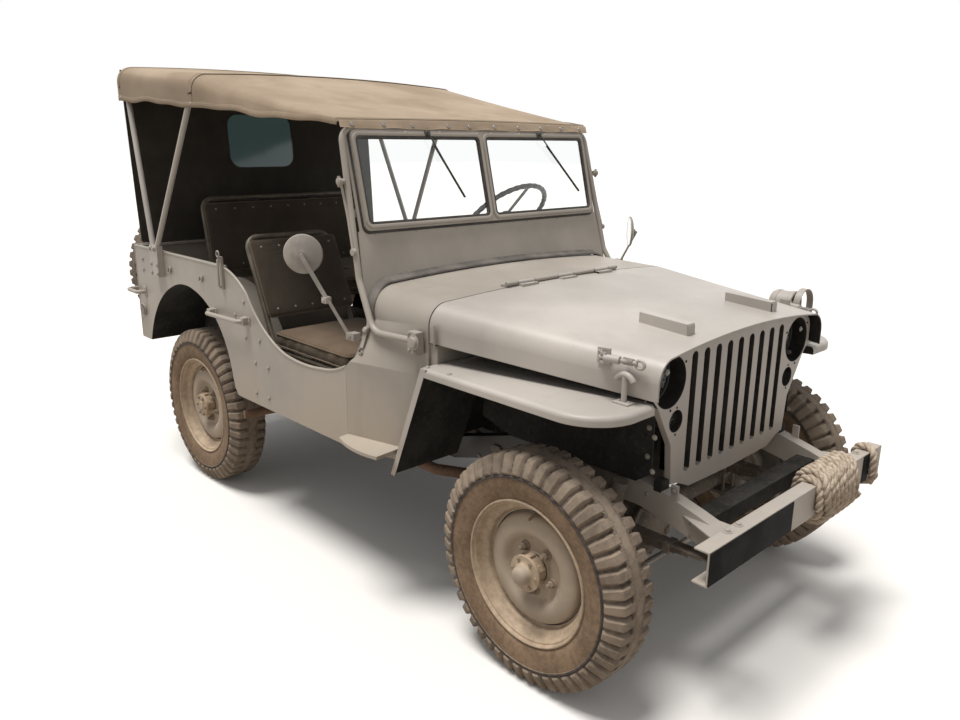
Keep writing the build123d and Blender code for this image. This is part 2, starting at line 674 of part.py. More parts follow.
# Rear curtain: a flat sheet from the rear bow to the tub, with its window cut out
curtain_top_z = rear_bow_z - 8.7
curtain_low_z = body_top_z + 1
curtain_top_x = rear_bow_x - 14
curtain_low_x = body_rear_x + 12
curtain_height = math.hypot(curtain_top_z - curtain_low_z, curtain_top_x - curtain_low_x)
curtain_plane = Plane(origin=((curtain_top_x + curtain_low_x) / 2, 0, (curtain_top_z + curtain_low_z) / 2),
                      x_dir=(0, 1, 0), z_dir=(-(curtain_top_z - curtain_low_z), 0, curtain_top_x - curtain_low_x))
window_up = 1522.0 - (curtain_top_z + curtain_low_z) / 2
curtain = extrude(curtain_plane * RectangleRounded(2 * 690, curtain_height, 40), amount=canvas)
window = curtain_plane * Pos(0, -window_up) * RectangleRounded(370, 264, 60)
window_alt = curtain_plane * Pos(0, window_up) * RectangleRounded(370, 264, 60)
pick = window if window.center().Z > 1400 else window_alt
curtain -= extrude(pick, amount=20, both=True)

# Seats: tubular frames, cushions and backs; two in front and a bench behind
seat_tube = 11.0
back_low = (seat_rear_x - 8, seat_top_z + 15)
back_top = (seat_rear_x - 190, seat_back_top_z)


def seat_frame(y0, y1):
    legs = Part()
    for y in (y0, y1):
        legs += rod((seat_front_x - 20, y, floor_z + sheet + seam), (seat_front_x - 20, y, seat_top_z - 95), seat_tube)
        legs += rod((seat_rear_x + 20, y, floor_z + sheet + seam), (seat_rear_x + 20, y, seat_top_z - 95), seat_tube)
        legs += rod((seat_front_x - 9, y, seat_top_z - 90), (seat_rear_x, y, seat_top_z - 90), seat_tube)
    hoop_back = bent_tube([(seat_rear_x, y0, seat_top_z - 90), (back_top[0], y0, back_top[1]),
                           (back_top[0], y1, back_top[1]), (seat_rear_x, y1, seat_top_z - 90)], 50, seat_tube)
    cross = rod((seat_front_x - 20, y0, seat_top_z - 90), (seat_front_x - 20, y1, seat_top_z - 90), seat_tube)
    return legs + hoop_back + cross


inset_y = 14.0
frame_right = seat_frame(-seat_outer_y + inset_y, -seat_inner_y - inset_y)
frame_left = seat_frame(seat_inner_y + inset_y, seat_outer_y - inset_y)
rear_back = bent_tube([(-2300, -rear_seat_half + 14, 700), (-2408, -rear_seat_half + 14, 1250),
                       (-2408, rear_seat_half - 14, 1250), (-2300, rear_seat_half - 14, 700)], 50, seat_tube)
rear_legs = Part()
for y in (-rear_seat_half + 14, rear_seat_half - 14):
    rear_legs += rod((-1960, y, rear_floor_z + sheet + seam), (-1960, y, 790), seat_tube)
    rear_legs += rod((-1949, y, 790), (-2318, y, 790), seat_tube)
rear_legs += rod((-1960, -rear_seat_half + 14, 790), (-1960, rear_seat_half - 14, 790), seat_tube)
seat_frames = Part() + [frame_right, frame_left, rear_back + rear_legs]


def cushion(x0, x1, y0, y1, z0, z1, r):
    pad = block(x0, x1, y0, y1, z0, z1)
    return fillet(pad.edges(), r)


cushion_low = seat_top_z - 90 + seat_tube + 0.3
cushions = Part() + [
    cushion(seat_front_x, seat_rear_x + 12, -seat_outer_y, -seat_inner_y, cushion_low, seat_top_z, 22),
    cushion(seat_front_x, seat_rear_x + 12, seat_inner_y, seat_outer_y, cushion_low, seat_top_z, 22),
    cushion(-1940, -2300, -rear_seat_half, rear_seat_half, 790 + seat_tube + 0.3, 880, 22),
]


def seat_back(low, top, y0, y1, thick):
    """A padded back that lies against the front of its leaning hoop."""
    run = math.hypot(top[0] - low[0], top[1] - low[1])
    lean = math.degrees(math.atan2(top[0] - low[0], top[1] - low[1]))
    pad = Box(thick, abs(y1 - y0), run)
    pad = fillet(pad.edges(), min(12, thick * 0.4))
    return Pos((low[0] + top[0]) / 2, (y0 + y1) / 2, (low[1] + top[1]) / 2) * Rot(0, lean, 0) * pad


def pad_line(low, top, offset):
    """Move a leaning line forwards, square to itself."""
    run = math.hypot(top[0] - low[0], top[1] - low[1])
    nx = (top[1] - low[1]) / run
    nz = -(top[0] - low[0]) / run
    return (low[0] + nx * offset, low[1] + nz * offset), (top[0] + nx * offset, top[1] + nz * offset)


front_low, front_top = pad_line((-1479.2, 835), (-1610.2, 1128), 17 + seat_tube + 0.4)
rear_low, rear_top = pad_line((-2339.3, 900), (-2403.1, 1225), 20 + seat_tube + 0.4)
backs = Part() + [
    seat_back(front_low, front_top, -seat_outer_y + 4, -seat_inner_y - 4, 34),
    seat_back(front_low, front_top, seat_inner_y + 4, seat_outer_y - 4, 34),
    seat_back(rear_low, rear_top, -rear_seat_half + 2, rear_seat_half - 2, 40),
]

# Mirrors: a round head on a flat arm at each side of the windshield
mirror_radius = 66.0
mirror_turn = 45.0
mirror_foot = (-812.0, 700.0, 901.0)


def mirror_arm(side, head):
    foot = (mirror_foot[0], side * mirror_foot[1], mirror_foot[2])
    arm = rod(foot, head, 7)
    pad = Pos(*head) * Rot(0, 0, side * mirror_turn) * Rot(0, 90, 0) * Cylinder(mirror_radius, 14)
    pad = fillet(pad.edges(), 5)
    clip = block(foot[0] - 10, -778, side * 668, side * 708, foot[2] - 12, foot[2] + 10)
    clip += block(-790, -776.3, side * 668, side * 690, foot[2] - 12, foot[2] - 2)
    return arm + pad + clip


mirrors = Part() + [mirror_arm(-1, (-948.0, -780.0, 1169.0)), mirror_arm(1, (-759.0, 780.0, 1152.0))]

# Fittings of the tub: side handles, rear corner handles, strap brackets and steps


def handle(a, b, out, r):
    ya = a[1]
    points = [(a[0], ya, a[2]), (a[0], ya + out, a[2]), (b[0], ya + out, b[2]), (b[0], ya, b[2])]
    return bent_tube(points, 18, r)


skin_y = -body_half_width
side_handle = handle((-1756, skin_y, 838), (-1478, skin_y, 846), -38, 9)
corner_handle = bent_tube([(-2471, skin_y, 824), (-2471, skin_y - 38, 824), (body_rear_x - 42, skin_y - 38, 824),
                           (body_rear_x - 42, -630, 824), (body_rear_x, -630, 824)], [18, 30, 18], 9)
strap_bracket = block(-1668, -1644, skin_y - 10, skin_y, 949, 1080)
step_z = 548.0
step_back_x = -806.0
step_front_x = -580.0


def tub_side_y(x):
    """Half width of the cowl's upright lower side between the flare and the neck."""
    t = (x - cowl_rear_x) / (cowl_neck_x - cowl_rear_x)
    return body_half_width + (cowl_half_width - body_half_width) * t


step_in_back = (step_back_x, -tub_side_y(step_back_x) - seam)
step_in_front = (step_front_x, -tub_side_y(step_front_x) - seam)
step_out_back = (step_back_x + 6, skin_y - 42)
step_out_front = (step_front_x + 10, skin_y - 56)
step_curves = [
    Line(step_in_back, step_out_back),
    ThreePointArc(step_out_back, (-700, skin_y - 66), step_out_front),
    Line(step_out_front, step_in_front),
    Line(step_in_front, step_in_back),
]
step_plate = flat_plate(step_curves, step_z, step_z + 12)
step_plate += side_plate(loop([(-740, step_z + 1), (-660, step_z + 1), (-680, step_z - 22), (-720, step_z - 22)]),
                         -tub_side_y(-740) - 30, -tub_side_y(-740) - seam)
fittings = both_sides(Part() + [side_handle, corner_handle, strap_bracket, step_plate])

# Steering: column from the box on the frame, wheel with three spokes
box_x = -520.0
box_z = 600.0
column_dir = Vector(steering_hub[0] - box_x, 0, steering_hub[1] - box_z).normalized()
hub_point = Vector(steering_hub[0], steering_y, steering_hub[1])
column_end = hub_point - column_dir * 26
column_radius = 20.0
column = rod((box_x, steering_y, box_z), (column_end.X, column_end.Y, column_end.Z), column_radius)
spindle_end = hub_point + column_dir * 12
column += rod((column_end.X, column_end.Y, column_end.Z), (spindle_end.X, spindle_end.Y, spindle_end.Z), 8)
column += block(-562, -492, 322, 368, 552, 625)
column_hole = rod((box_x, steering_y, box_z), (column_end.X, column_end.Y, column_end.Z), column_radius + 1)
floor -= column_hole
cowl -= column_hole
wheel_plane = Plane(origin=hub_point, z_dir=column_dir)
steering_wheel = wheel_plane * Torus(steering_radius, 11)
steering_wheel += extrude(wheel_plane * Circle(26), amount=18, both=True)
spindle_hole = extrude(wheel_plane * Circle(8.05), amount=19, both=True)
for k in range(3):
    spoke = Rot(0, 0, 120 * k + 90) * Pos(steering_radius / 2, 0, 0) * Box(steering_radius, 12, 6)
    steering_wheel += wheel_plane * spoke
steering_wheel -= spindle_hole

# Pedals and levers
controls = Part() + [column]
for y in (250.0, 430.0):
    controls += block(-690, -682, y - 28, y + 28, 640, 700) + rod((-686, y, 660), (-596.6, y, 598.5), 7)
for y, top in ((40.0, 900.0), (-30.0, 800.0), (-80.0, 790.0)):
    sink = 8 * 100 / math.hypot(100, top - 643)
    lever = rod((-800, y, tunnel_top_z + seam + sink), (-900, y, top), 8)
    controls += lever + Pos(-900, y, top) * Sphere(18)

# Axles: tubes with an offset bowl housing, and a ball at each end of the front one
ball_radius = 58.0
axle_z = tyre_radius


def axle(x, end_y, bowl_y):
    tube = rod((x, -end_y, axle_z), (x, end_y, axle_z), 35)
    bowl = Pos(x, bowl_y, axle_z) * Sphere(104)
    bowl = bowl & block(x - 104, x + 104, bowl_y - 70, bowl_y + 70, 0, 900)
    return tube + bowl


bowl_y = -165.0
front_axle = axle(0, kingpin_y - 20, bowl_y)
front_axle += rod((0, bowl_y, axle_z), (-150, bowl_y, axle_z + 6), 45)
kingpin_radius = 12.0
spindle_radius = 18.0
running_fit = 0.05
for side in (1, -1):
    front_axle += Pos(0, side * kingpin_y, axle_z) * Sphere(ball_radius)
    front_axle += rod((0, side * kingpin_y, axle_z - 90), (0, side * kingpin_y, axle_z + 90), kingpin_radius)
rear_axle = axle(-wheelbase, 560, bowl_y)
rear_axle += rod((-wheelbase, bowl_y, axle_z), (-wheelbase + 150, bowl_y, axle_z + 6), 45)
for side in (1, -1):
    rear_axle += rod((-wheelbase, side * 600, axle_z), (-wheelbase, side * 608, axle_z), 122)
    rear_axle += rod((-wheelbase, side * 560, axle_z), (-wheelbase, side * 612, axle_z), 35)
    rear_axle += rod((-wheelbase, side * 600, axle_z), (-wheelbase, side * 676, axle_z), spindle_radius)

# Knuckles: a cap round each ball, brake plate, kingpin bosses and steering arm
shell_gap = 2.0


def knuckle(side):
    centre = Pos(0, side * kingpin_y, axle_z)
    cap = centre * (Sphere(72) - Sphere(ball_radius + shell_gap))
    y_cut = side * (kingpin_y - 25)
    cap -= block(-100, 100, y_cut, side * (kingpin_y - 200), 200, 500)
    plate = rod((0, side * 606, axle_z), (0, side * 612, axle_z), 122)
    plate += rod((0, side * 608, axle_z), (0, side * 676, axle_z), spindle_radius)
    boss = rod((0, side * kingpin_y, axle_z + 68), (0, side * kingpin_y, axle_z + 96), 26)
    foot = rod((0, side * kingpin_y, axle_z - 96), (0, side * kingpin_y, axle_z - 68), 26)
    arm_end = (steer_arm_length, side * (kingpin_y - steer_arm_inset))
    low = axle_z - 96
    arm = rod((0, side * kingpin_y, low + 8), (arm_end[0], arm_end[1], low + 8), 10)
    eye = rod((arm_end[0], arm_end[1], low - 4), (arm_end[0], arm_end[1], low + 20), 16)
    pin = rod((arm_end[0], arm_end[1], low + 20), (arm_end[0], arm_end[1], low + 52), 7)
    bores = rod((0, side * kingpin_y, axle_z - 97), (0, side * kingpin_y, axle_z + 97),
                kingpin_radius + running_fit)
    bores &= centre * (Box(200, 200, 400) - Sphere(ball_radius + 1))
    return cap + plate + boss + foot + arm + eye + pin - bores


knuckle_right = knuckle(-1)
knuckle_left = knuckle(1)
rod_z = axle_z - 96 + 38
tie_y = kingpin_y - steer_arm_inset
tie_rod = rod((steer_arm_length, -tie_y + 14, rod_z), (steer_arm_length, tie_y - 14, rod_z), 10)
for side in (1, -1):
    eye = rod((steer_arm_length, side * tie_y, rod_z - 12), (steer_arm_length, side * tie_y, rod_z + 12), 17)
    tie_rod += eye - rod((steer_arm_length, side * tie_y, rod_z - 13), (steer_arm_length, side * tie_y, rod_z + 15), 7.3)

# Leaf springs on the axles, with eyes, shackles and the telescopic dampers
spring_y = rail_outer_y - rail_width / 2
spring_half = 22.0


def spring(x_front, z_front, x_rear, z_rear, x_mid, z_mid):
    """A stack of leaves as one bowed bar, thick over the axle."""
    upper = ThreePointArc((x_front, z_front + 8), (x_mid, z_mid + 22), (x_rear, z_rear + 8))
    lower = ThreePointArc((x_rear, z_rear - 8), (x_mid, z_mid - 22), (x_front, z_front - 8))
    ends = [Line((x_rear, z_rear + 8), (x_rear, z_rear - 8)), Line((x_front, z_front - 8), (x_front, z_front + 8))]
    face = make_face([Plane.XZ * c for c in [upper, ends[0], lower, ends[1]]])
    bar = Pos(0, spring_half, 0) * extrude(face, amount=2 * spring_half)
    for x, z in ((x_front, z_front), (x_rear, z_rear)):
        bar += rod((x, -spring_half, z), (x, spring_half, z), 19)
    return bar


pad_gap = 35.0
front_mid = axle_z + pad_gap + 22.3
front_spring = Pos(0, -spring_y, 0) * spring(412, 428, -430, 440, 0, front_mid)
rear_spring = Pos(0, -spring_y, 0) * spring(-1540, 396, -2500, 470, -wheelbase, front_mid)
nose_rail_low = rail_top_nose - rail_height
middle_rail_low = rail_top_middle - rail_height
rear_rail_low = rail_top_rear - rail_height
shackles = block(394, 430, -spring_y - 22, -spring_y + 22, 428, nose_rail_low)
shackles += block(-448, -412, -spring_y - 22, -spring_y + 22, 440, 481.4)
shackles += block(-1558, -1522, -spring_y - 22, -spring_y + 22, 396, middle_rail_low)
shackles += block(-2518, -2482, -spring_y - 22, -spring_y + 22, 470, rear_rail_low)
damper_y = -405.0
front_damper = rod((60, damper_y, 400), (110, damper_y, 590), 22) + rod((75, damper_y, 420), (75, -spring_y, 400), 12)
rear_damper = rod((-wheelbase + 60, damper_y, 400), (-wheelbase + 230, damper_y, 560), 22)
rear_damper += rod((-wheelbase + 66, damper_y, 410), (-wheelbase + 66, -spring_y, 400), 12)
suspension = both_sides(front_spring + shackles + rear_spring + front_damper + rear_damper)

# Engine and gearbox as one plain block, with the transfer case behind
engine = block(-430, 90, -150, 150, 500, 900)
engine += block(-985, -430, -105, 105, 437.3, 620)
engine += block(-985, -820, -260, 105, 360, 500)

# Drive shafts from the transfer case to each axle's bowl
drive_shafts = Part() + [
    rod((-817.5, bowl_y, 420), (-154, bowl_y, axle_z + 8), 24),
    rod((-987, bowl_y, 420), (-wheelbase + 154, bowl_y, axle_z + 8), 24),
]

# Exhaust: down pipe, silencer along the right side and tail pipe ahead of the rear wheel
exhaust = bent_tube([(-300, -150, 640), (-300, -215, 640), (-300, -215, 376), (-700, -420, 376), (-980, -480, 425)],
                    [30, 60, 80], 20)
silencer_back_x = -wheelbase + tyre_radius + 241
exhaust += rod((-970, -480, 430), (silencer_back_x, -480, 430), 52)
exhaust += bent_tube([(silencer_back_x + 2, -480, 430), (silencer_back_x - 100, -480, 430),
                      (silencer_back_x - 160, -700, 420)], 60, 18)

# Spare wheel on the rear panel, with its carrier


def tread_ring(steps, y0, y1):
    """A toothed ring: steps give each corner's share of a bar's pitch and its radius."""
    corners = []
    for k in range(bar_count):
        for share, radius in steps:
            a = 2 * math.pi * (k + share) / bar_count
            corners.append((math.cos(a) * radius, math.sin(a) * radius))
    face = make_face(Plane.XZ * loop(corners))
    return Pos(0, y1, 0) * extrude(face, amount=y1 - y0, dir=(0, -1, 0))


def tyre_solid():
    """Casing turned about the wheel's axis, with two staggered rows of bars that meet in
    a solid band along the middle."""
    w = tyre_half_width
    base_radius = groove_radius - 5
    bead_radius = rim_seat_radius + seam
    bead_half = rim_half_width - 5 - seam
    points = [
        Line((bead_radius, -bead_half), (bead_radius, bead_half)),
        Line((bead_radius, bead_half), (rim_lip_radius + 1, bead_half)),
        ThreePointArc((rim_lip_radius + 1, bead_half), (258, 81.5), (316, 81)),
        Line((316, 81), (base_radius, bar_reach - 2)),
        Line((base_radius, bar_reach - 2), (base_radius, -bar_reach + 2)),
        Line((base_radius, -bar_reach + 2), (316, -81)),
        ThreePointArc((316, -81), (258, -81.5), (rim_lip_radius + 1, -bead_half)),
        Line((rim_lip_radius + 1, -bead_half), (bead_radius, -bead_half)),
    ]
    casing = revolve(make_face(points), axis=Axis.Y)
    top = tyre_radius
    tread = tread_ring([(0, top), (0.5, top), (0.75, groove_radius)], tread_band, bar_reach)
    tread += tread_ring([(0.5, top), (1.0, top), (1.25, groove_radius)], -bar_reach, -tread_band)
    tread += tread_ring([(0, top), (0.5, top)], -tread_band, tread_band)
    tread -= extrude(Plane.XZ * Circle(base_radius - 14), amount=w, both=True)
    return casing + tread


def wheel_solid():
    """Pressed disc wheel with drop-centre rim, brake drum, hub and driving flange."""
    h = rim_half_width
    spindle_bore = spindle_radius + running_fit
    profile = [
        (rim_seat_radius, -h), (rim_lip_radius, -h), (rim_lip_radius, -h + 4), (rim_seat_radius, -h + 5),
        (rim_seat_radius, -34), (186, -22), (186, 18), (rim_seat_radius, 30), (rim_seat_radius, h - 5),
        (rim_lip_radius, h - 4), (rim_lip_radius, h), (rim_seat_radius - 6, h), (rim_seat_radius - 6, 33),
        (181, 20), (150, 34), (112, 40), (86, 26), (62, 26), (44, 60), (44, 70), (22, 78), (22, hub_reach),
        (0, hub_reach), (0, 60), (spindle_bore, 60), (spindle_bore, 14), (118, 14), (118, -2), (128, -2),
        (128, 18), (150, 28), (180, 12), (180, -22), (rim_seat_radius - 6, -36),
    ]
    wheel = revolve(make_face(Polyline(*profile, close=True)), axis=Axis.Y)
    for k in range(nut_count):
        a = math.radians(90 + 360 * k / nut_count)
        x = nut_circle * math.cos(a)
        z = nut_circle * math.sin(a)
        wheel += rod((x, 20, z), (x, 46, z), 10)
    return wheel


tyre_base = tyre_solid()
wheel_base = wheel_solid()
wheel_places = [
    ("front_left", 0.0, 1),
    ("front_right", 0.0, -1),
    ("rear_left", -wheelbase, 1),
    ("rear_right", -wheelbase, -1),
]


def at_wheel(shape, x, side):
    piece = shape if side > 0 else other_side(shape)
    return Pos(x, side * track_half, tyre_radius) * piece


spare_mid_x = spare_back_x + tyre_half_width
spare_turn = Pos(spare_mid_x, spare_y, spare_z) * Rot(0, 0, 90)
spare_tyre = spare_turn * tyre_base
spare_wheel = spare_turn * wheel_base
hub_back_x = spare_mid_x - 14
carrier = block(hub_back_x + seam, body_rear_x - seam, spare_y - 60, spare_y + 60, spare_z - 60, spare_z + 60)

# Rear fittings: two short bumpers, towing hook and the spare wheel's carrier
rear_fittings = Part()
for side in (1, -1):
    y0 = side * 300
    y1 = side * 430
    rear_fittings += block(body_rear_x - 74, body_rear_x - 66, y0, y1, 430, 528)
    rear_fittings += block(body_rear_x - 66, body_rear_x + 5.7, side * 340, side * 352, 505, 525)
rear_fittings += block(body_rear_x - 20, body_rear_x + 5.7, -50, 50, 505, 582)
rear_fittings += rod((body_rear_x - 20, 0, 542), (body_rear_x - 90, 0, 542), 18)
hook = Pos(body_rear_x - 118, 0, 542) * Rot(90, 0, 0) * Torus(30, 11)
rear_fittings += hook

# Tail lamps on the rear panel's lower corners
tail_lamps = Part()
for side in (1, -1):
    tail_lamps += rod((body_rear_x - 0.3, side * 664, 655), (body_rear_x - 40, side * 664, 655), 38)
    tail_lamps += rod((-2509, side * (body_half_width + 0.3), 731), (-2509, side * (body_half_width + 9), 731), 30)

# Every node with its shape
pieces = {
    "chassis_frame": frame,
    "front_bumper": bumper,
    "bumper_rope": rope,
    "grille": grille,
    "radiator": radiator,
    "lamps": lamps,
    "fender_right": fender_right,
    "fender_left": fender_left,
    "cowl": cowl,
    "body_side_right": side_right,
    "body_side_left": side_left,
    "rear_panel": rear_panel,
    "floor": floor,
    "windshield_frame": shield,
    "windshield_glass": glass,
    "top_bows": bows,
    "canvas_top": canvas_top,
    "rear_curtain": curtain,
    "seat_frames": seat_frames,
    "seat_cushions": cushions,
    "seat_backs": backs,
    "mirrors": mirrors,
    "body_fittings": fittings,
    "driver_controls": controls,
    "front_axle": front_axle,
    "rear_axle": rear_axle,
    "suspension": suspension,
    "engine_block": engine,
    "drive_shafts": drive_shafts,
    "exhaust": exhaust,
    "spare_tyre": spare_tyre,
    "spare_wheel": spare_wheel + carrier,
    "rear_fittings": rear_fittings,
    "tail_lamps": tail_lamps,
    "hood": hood,
    "steering_wheel": steering_wheel,
    "knuckle_right": knuckle_right,
    "knuckle_left": knuckle_left,
    "tie_rod": tie_rod,
}
for name, x, side in wheel_places:
    pieces["tyre_" + name] = at_wheel(tyre_base, x, side)
    pieces["wheel_" + name] = at_wheel(wheel_base, x, side)

os.makedirs("parts", exist_ok=True)
for name, shape in pieces.items():
    export_step(Pos(front_axle_x, 0, 0) * shape, "parts/" + name + ".step")
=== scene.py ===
import math

import bmesh
import bpy
from mathutils import Matrix, Vector, noise


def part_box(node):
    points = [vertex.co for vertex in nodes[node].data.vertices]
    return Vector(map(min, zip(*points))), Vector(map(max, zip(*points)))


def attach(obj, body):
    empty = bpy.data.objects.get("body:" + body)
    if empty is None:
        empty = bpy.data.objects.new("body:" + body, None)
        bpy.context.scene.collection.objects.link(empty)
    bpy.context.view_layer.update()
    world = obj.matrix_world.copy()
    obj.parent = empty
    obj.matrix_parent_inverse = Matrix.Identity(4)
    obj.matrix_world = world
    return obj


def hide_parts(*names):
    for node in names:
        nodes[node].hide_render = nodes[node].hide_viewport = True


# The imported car. Every place below is given in millimetres from the front axle's line,
# the car's middle plane and the ground, and the axle's line is read from the frame.
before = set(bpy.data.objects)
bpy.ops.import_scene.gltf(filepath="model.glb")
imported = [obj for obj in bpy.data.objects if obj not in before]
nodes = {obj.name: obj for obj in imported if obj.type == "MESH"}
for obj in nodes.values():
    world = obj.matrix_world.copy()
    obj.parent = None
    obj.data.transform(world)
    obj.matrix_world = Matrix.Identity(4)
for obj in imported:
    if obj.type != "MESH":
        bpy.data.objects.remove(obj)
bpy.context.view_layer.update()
hub_low, hub_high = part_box("wheel_front_left")
front_axle_x = (hub_low.x + hub_high.x) / 2


def car(x, y, z):
    """A point in metres in the frame, from millimetres round the front axle."""
    return Vector((front_axle_x + x / 1000, y / 1000, z / 1000))


# View: from ahead of the car's right corner at 1.54 m, about an eye's height, looking down
# on the car by 15 degrees through a moderate wide-angle lens.
eye = car(1391.1, -2208.4, 1542.4)
eye_azimuth = math.radians(46.129)
eye_elevation = math.radians(15.295)
eye_roll = math.radians(0.563)
eye_back = Vector((math.sin(eye_azimuth) * math.cos(eye_elevation),
                   -math.cos(eye_azimuth) * math.cos(eye_elevation), math.sin(eye_elevation)))
level = Vector((math.cos(eye_azimuth), math.sin(eye_azimuth), 0))
upward = eye_back.cross(level)
eye_right = level * math.cos(eye_roll) + upward * math.sin(eye_roll)
eye_up = upward * math.cos(eye_roll) - level * math.sin(eye_roll)
eye_turn = Matrix((eye_right, eye_up, eye_back)).transposed()
camera = bpy.data.objects.new("camera", bpy.data.cameras.new("camera"))
camera.data.lens = 30.275
camera.data.sensor_width = 36
camera.matrix_world = Matrix.Translation(eye) @ eye_turn.to_4x4()
bpy.context.scene.collection.objects.link(camera)
bpy.context.scene.camera = camera
bpy.context.scene.view_settings.view_transform = "Standard"


# Rope: one thick three-strand rope wound round the bumper left of its middle, with a
# second layer that crosses the first, and a short end hitched near the bumper's left end.
class Reading:
    """An output of a node in a finish, which takes part in sums as a number does."""

    def __init__(self, recipe, socket):
        self.recipe = recipe
        self.socket = socket

    def sum(self, operation, other):
        return self.recipe.node("ShaderNodeMath", {"operation": operation}, {0: self, 1: other})

    def __add__(self, other):
        return self.sum("ADD", other)

    def __sub__(self, other):
        return self.sum("SUBTRACT", other)

    def __mul__(self, other):
        return self.sum("MULTIPLY", other)

    __radd__ = __add__
    __rmul__ = __mul__


class Recipe:
    """The node tree of one finish."""

    def __init__(self, name):
        self.material = bpy.data.materials.new(name)
        self.material.use_nodes = True
        self.tree = self.material.node_tree
        self.tree.nodes.clear()
        self.place = self.node("ShaderNodeTexCoord", out="Object")

    def node(self, kind, settings=None, given=None, out=0):
        """Adds a node, sets its settings, then its sockets' values or links."""
        made = self.tree.nodes.new(kind)
        for key, value in (settings or {}).items():
            setattr(made, key, value)
        for key, value in (given or {}).items():
            if isinstance(value, Reading):
                self.tree.links.new(value.socket, made.inputs[key])
            elif isinstance(value, (tuple, list)) and len(made.inputs[key].default_value) > len(value):
                made.inputs[key].default_value = (*value, 1)
            else:
                made.inputs[key].default_value = value
        return None if out is None else Reading(self, made.outputs[out])

    def noise(self, scale, detail=4, rough=0.55, place=None):
        return self.node("ShaderNodeTexNoise", None, {
            "Vector": place or self.place, "Scale": scale, "Detail": detail, "Roughness": rough})

    def step(self, value, low, high):
        """Rises smoothly from 0 at low to 1 at high."""
        return self.node("ShaderNodeMapRange", {"interpolation_type": "SMOOTHSTEP"}, {
            "Value": value, "From Min": low, "From Max": high})

    def blend(self, share, first, second):
        """Mixes two colours."""
        return self.node("ShaderNodeMix", {"data_type": "RGBA"}, {0: share, 6: first, 7: second}, out=2)

    def part(self, k):
        """The place's X, Y or Z, for k of 0, 1 or 2."""
        return self.node("ShaderNodeSeparateXYZ", None, {0: self.place}, out=k)

    def sine(self, value):
        return self.node("ShaderNodeMath", {"operation": "SINE"}, {0: value})

    def bump(self, height, depth, strength=1.0, normal=None):
        given = {"Height": height, "Distance": depth, "Strength": strength}
        if normal:
            given["Normal"] = normal
        return self.node("ShaderNodeBump", None, given)

    def shader(self, **given):
        """Ends the finish in a principled shader."""
        named = {key.replace("_", " "): value for key, value in given.items()}
        surface = self.node("ShaderNodeBsdfPrincipled", None, named)
        self.node("ShaderNodeOutputMaterial", None, {0: surface}, out=None)
        return self.material


class Shape:
    """Gathers the faces of one piece."""

    def __init__(self):
        self.mesh = bmesh.new()

    def rings(self, rings, around=True, along=False, caps=False):
        """Skins rows of points; around joins each row's ends, along the last row to the first."""
        rows = [[self.mesh.verts.new(p) for p in ring] for ring in rings]
        pairs = list(zip(rows, rows[1:])) + ([(rows[-1], rows[0])] if along else [])
        for low, high in pairs:
            count = len(low)
            for k in range(count if around else count - 1):
                n = (k + 1) % count
                self.mesh.faces.new((low[k], low[n], high[n], high[k]))
        if caps:
            self.mesh.faces.new(rows[0][::-1])
            self.mesh.faces.new(rows[-1])
        return self

    def turned(self, place, profile, count=48):
        """Turns (radius, height) points round the local Z of a place."""
        rings = []
        for radius, height in profile:
            ring = [(math.cos(a) * radius, math.sin(a) * radius, height) for a in circle(count)]
            rings.append([place @ Vector(p) for p in ring])
        return self.rings(rings)

    def rod(self, points, radius, count=12):
        """A round bar along points."""
        return self.rings(tube_rings(points, radius, count), caps=True)

    def slab(self, place, size, rounding=0.0015, steps=2):
        """A block with rounded edges, centred on a place."""
        made = bmesh.ops.create_cube(self.mesh, size=1)["verts"]
        for v in made:
            v.co = place @ Vector((v.co.x * size[0], v.co.y * size[1], v.co.z * size[2]))
        edges = list({e for v in made for e in v.link_edges})
        bmesh.ops.bevel(self.mesh, geom=edges, offset=rounding, segments=steps, profile=0.6,
                        affect="EDGES", clamp_overlap=True)
        return self

    def block(self, centre, size, rounding=0.0015):
        """A block that stands square to the car."""
        return self.slab(Matrix.Translation(centre), size, rounding)

    def made(self, name, material, body="body", slot=None, crease=38):
        """Turns what was gathered into an object that rides on a body."""
        bmesh.ops.remove_doubles(self.mesh, verts=self.mesh.verts, dist=1e-6)
        bmesh.ops.recalc_face_normals(self.mesh, faces=self.mesh.faces)
        data = bpy.data.meshes.new(name)
        self.mesh.to_mesh(data)
        self.mesh.free()
        data.shade_smooth()
        data.set_sharp_from_angle(angle=math.radians(crease))
        data.materials.append(material)
        piece = bpy.data.objects.new(name, data)
        bpy.context.scene.collection.objects.link(piece)
        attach(piece, body)
        return piece


def direction(points, k):
    """The way that a line of points runs at its point k."""
    return (Vector(points[min(k + 1, len(points) - 1)]) - Vector(points[max(k - 1, 0)])).normalized()


def circle(count):
    """Angles of points spread evenly round a circle."""
    return [2 * math.pi * k / count for k in range(count)]


def tube_rings(points, radius, count=12, twist=0.0, shape=None):
    """Rings of points round a line; shape gives the radius's share at an angle."""
    points = [Vector(p) for p in points]
    side = None
    rings = []
    turn = 0.0
    for k, p in enumerate(points):
        ahead = direction(points, k)
        if side is None:
            side = ahead.orthogonal().normalized()
        side = (side - ahead * side.dot(ahead)).normalized()
        other = ahead.cross(side)
        if k:
            turn += twist * (p - points[k - 1]).length
        ring = []
        for a in circle(count):
            r = radius * (shape(a) if shape else 1.0)
            ring.append(p + (side * math.cos(a + turn) + other * math.sin(a + turn)) * r)
        rings.append(ring)
    return rings


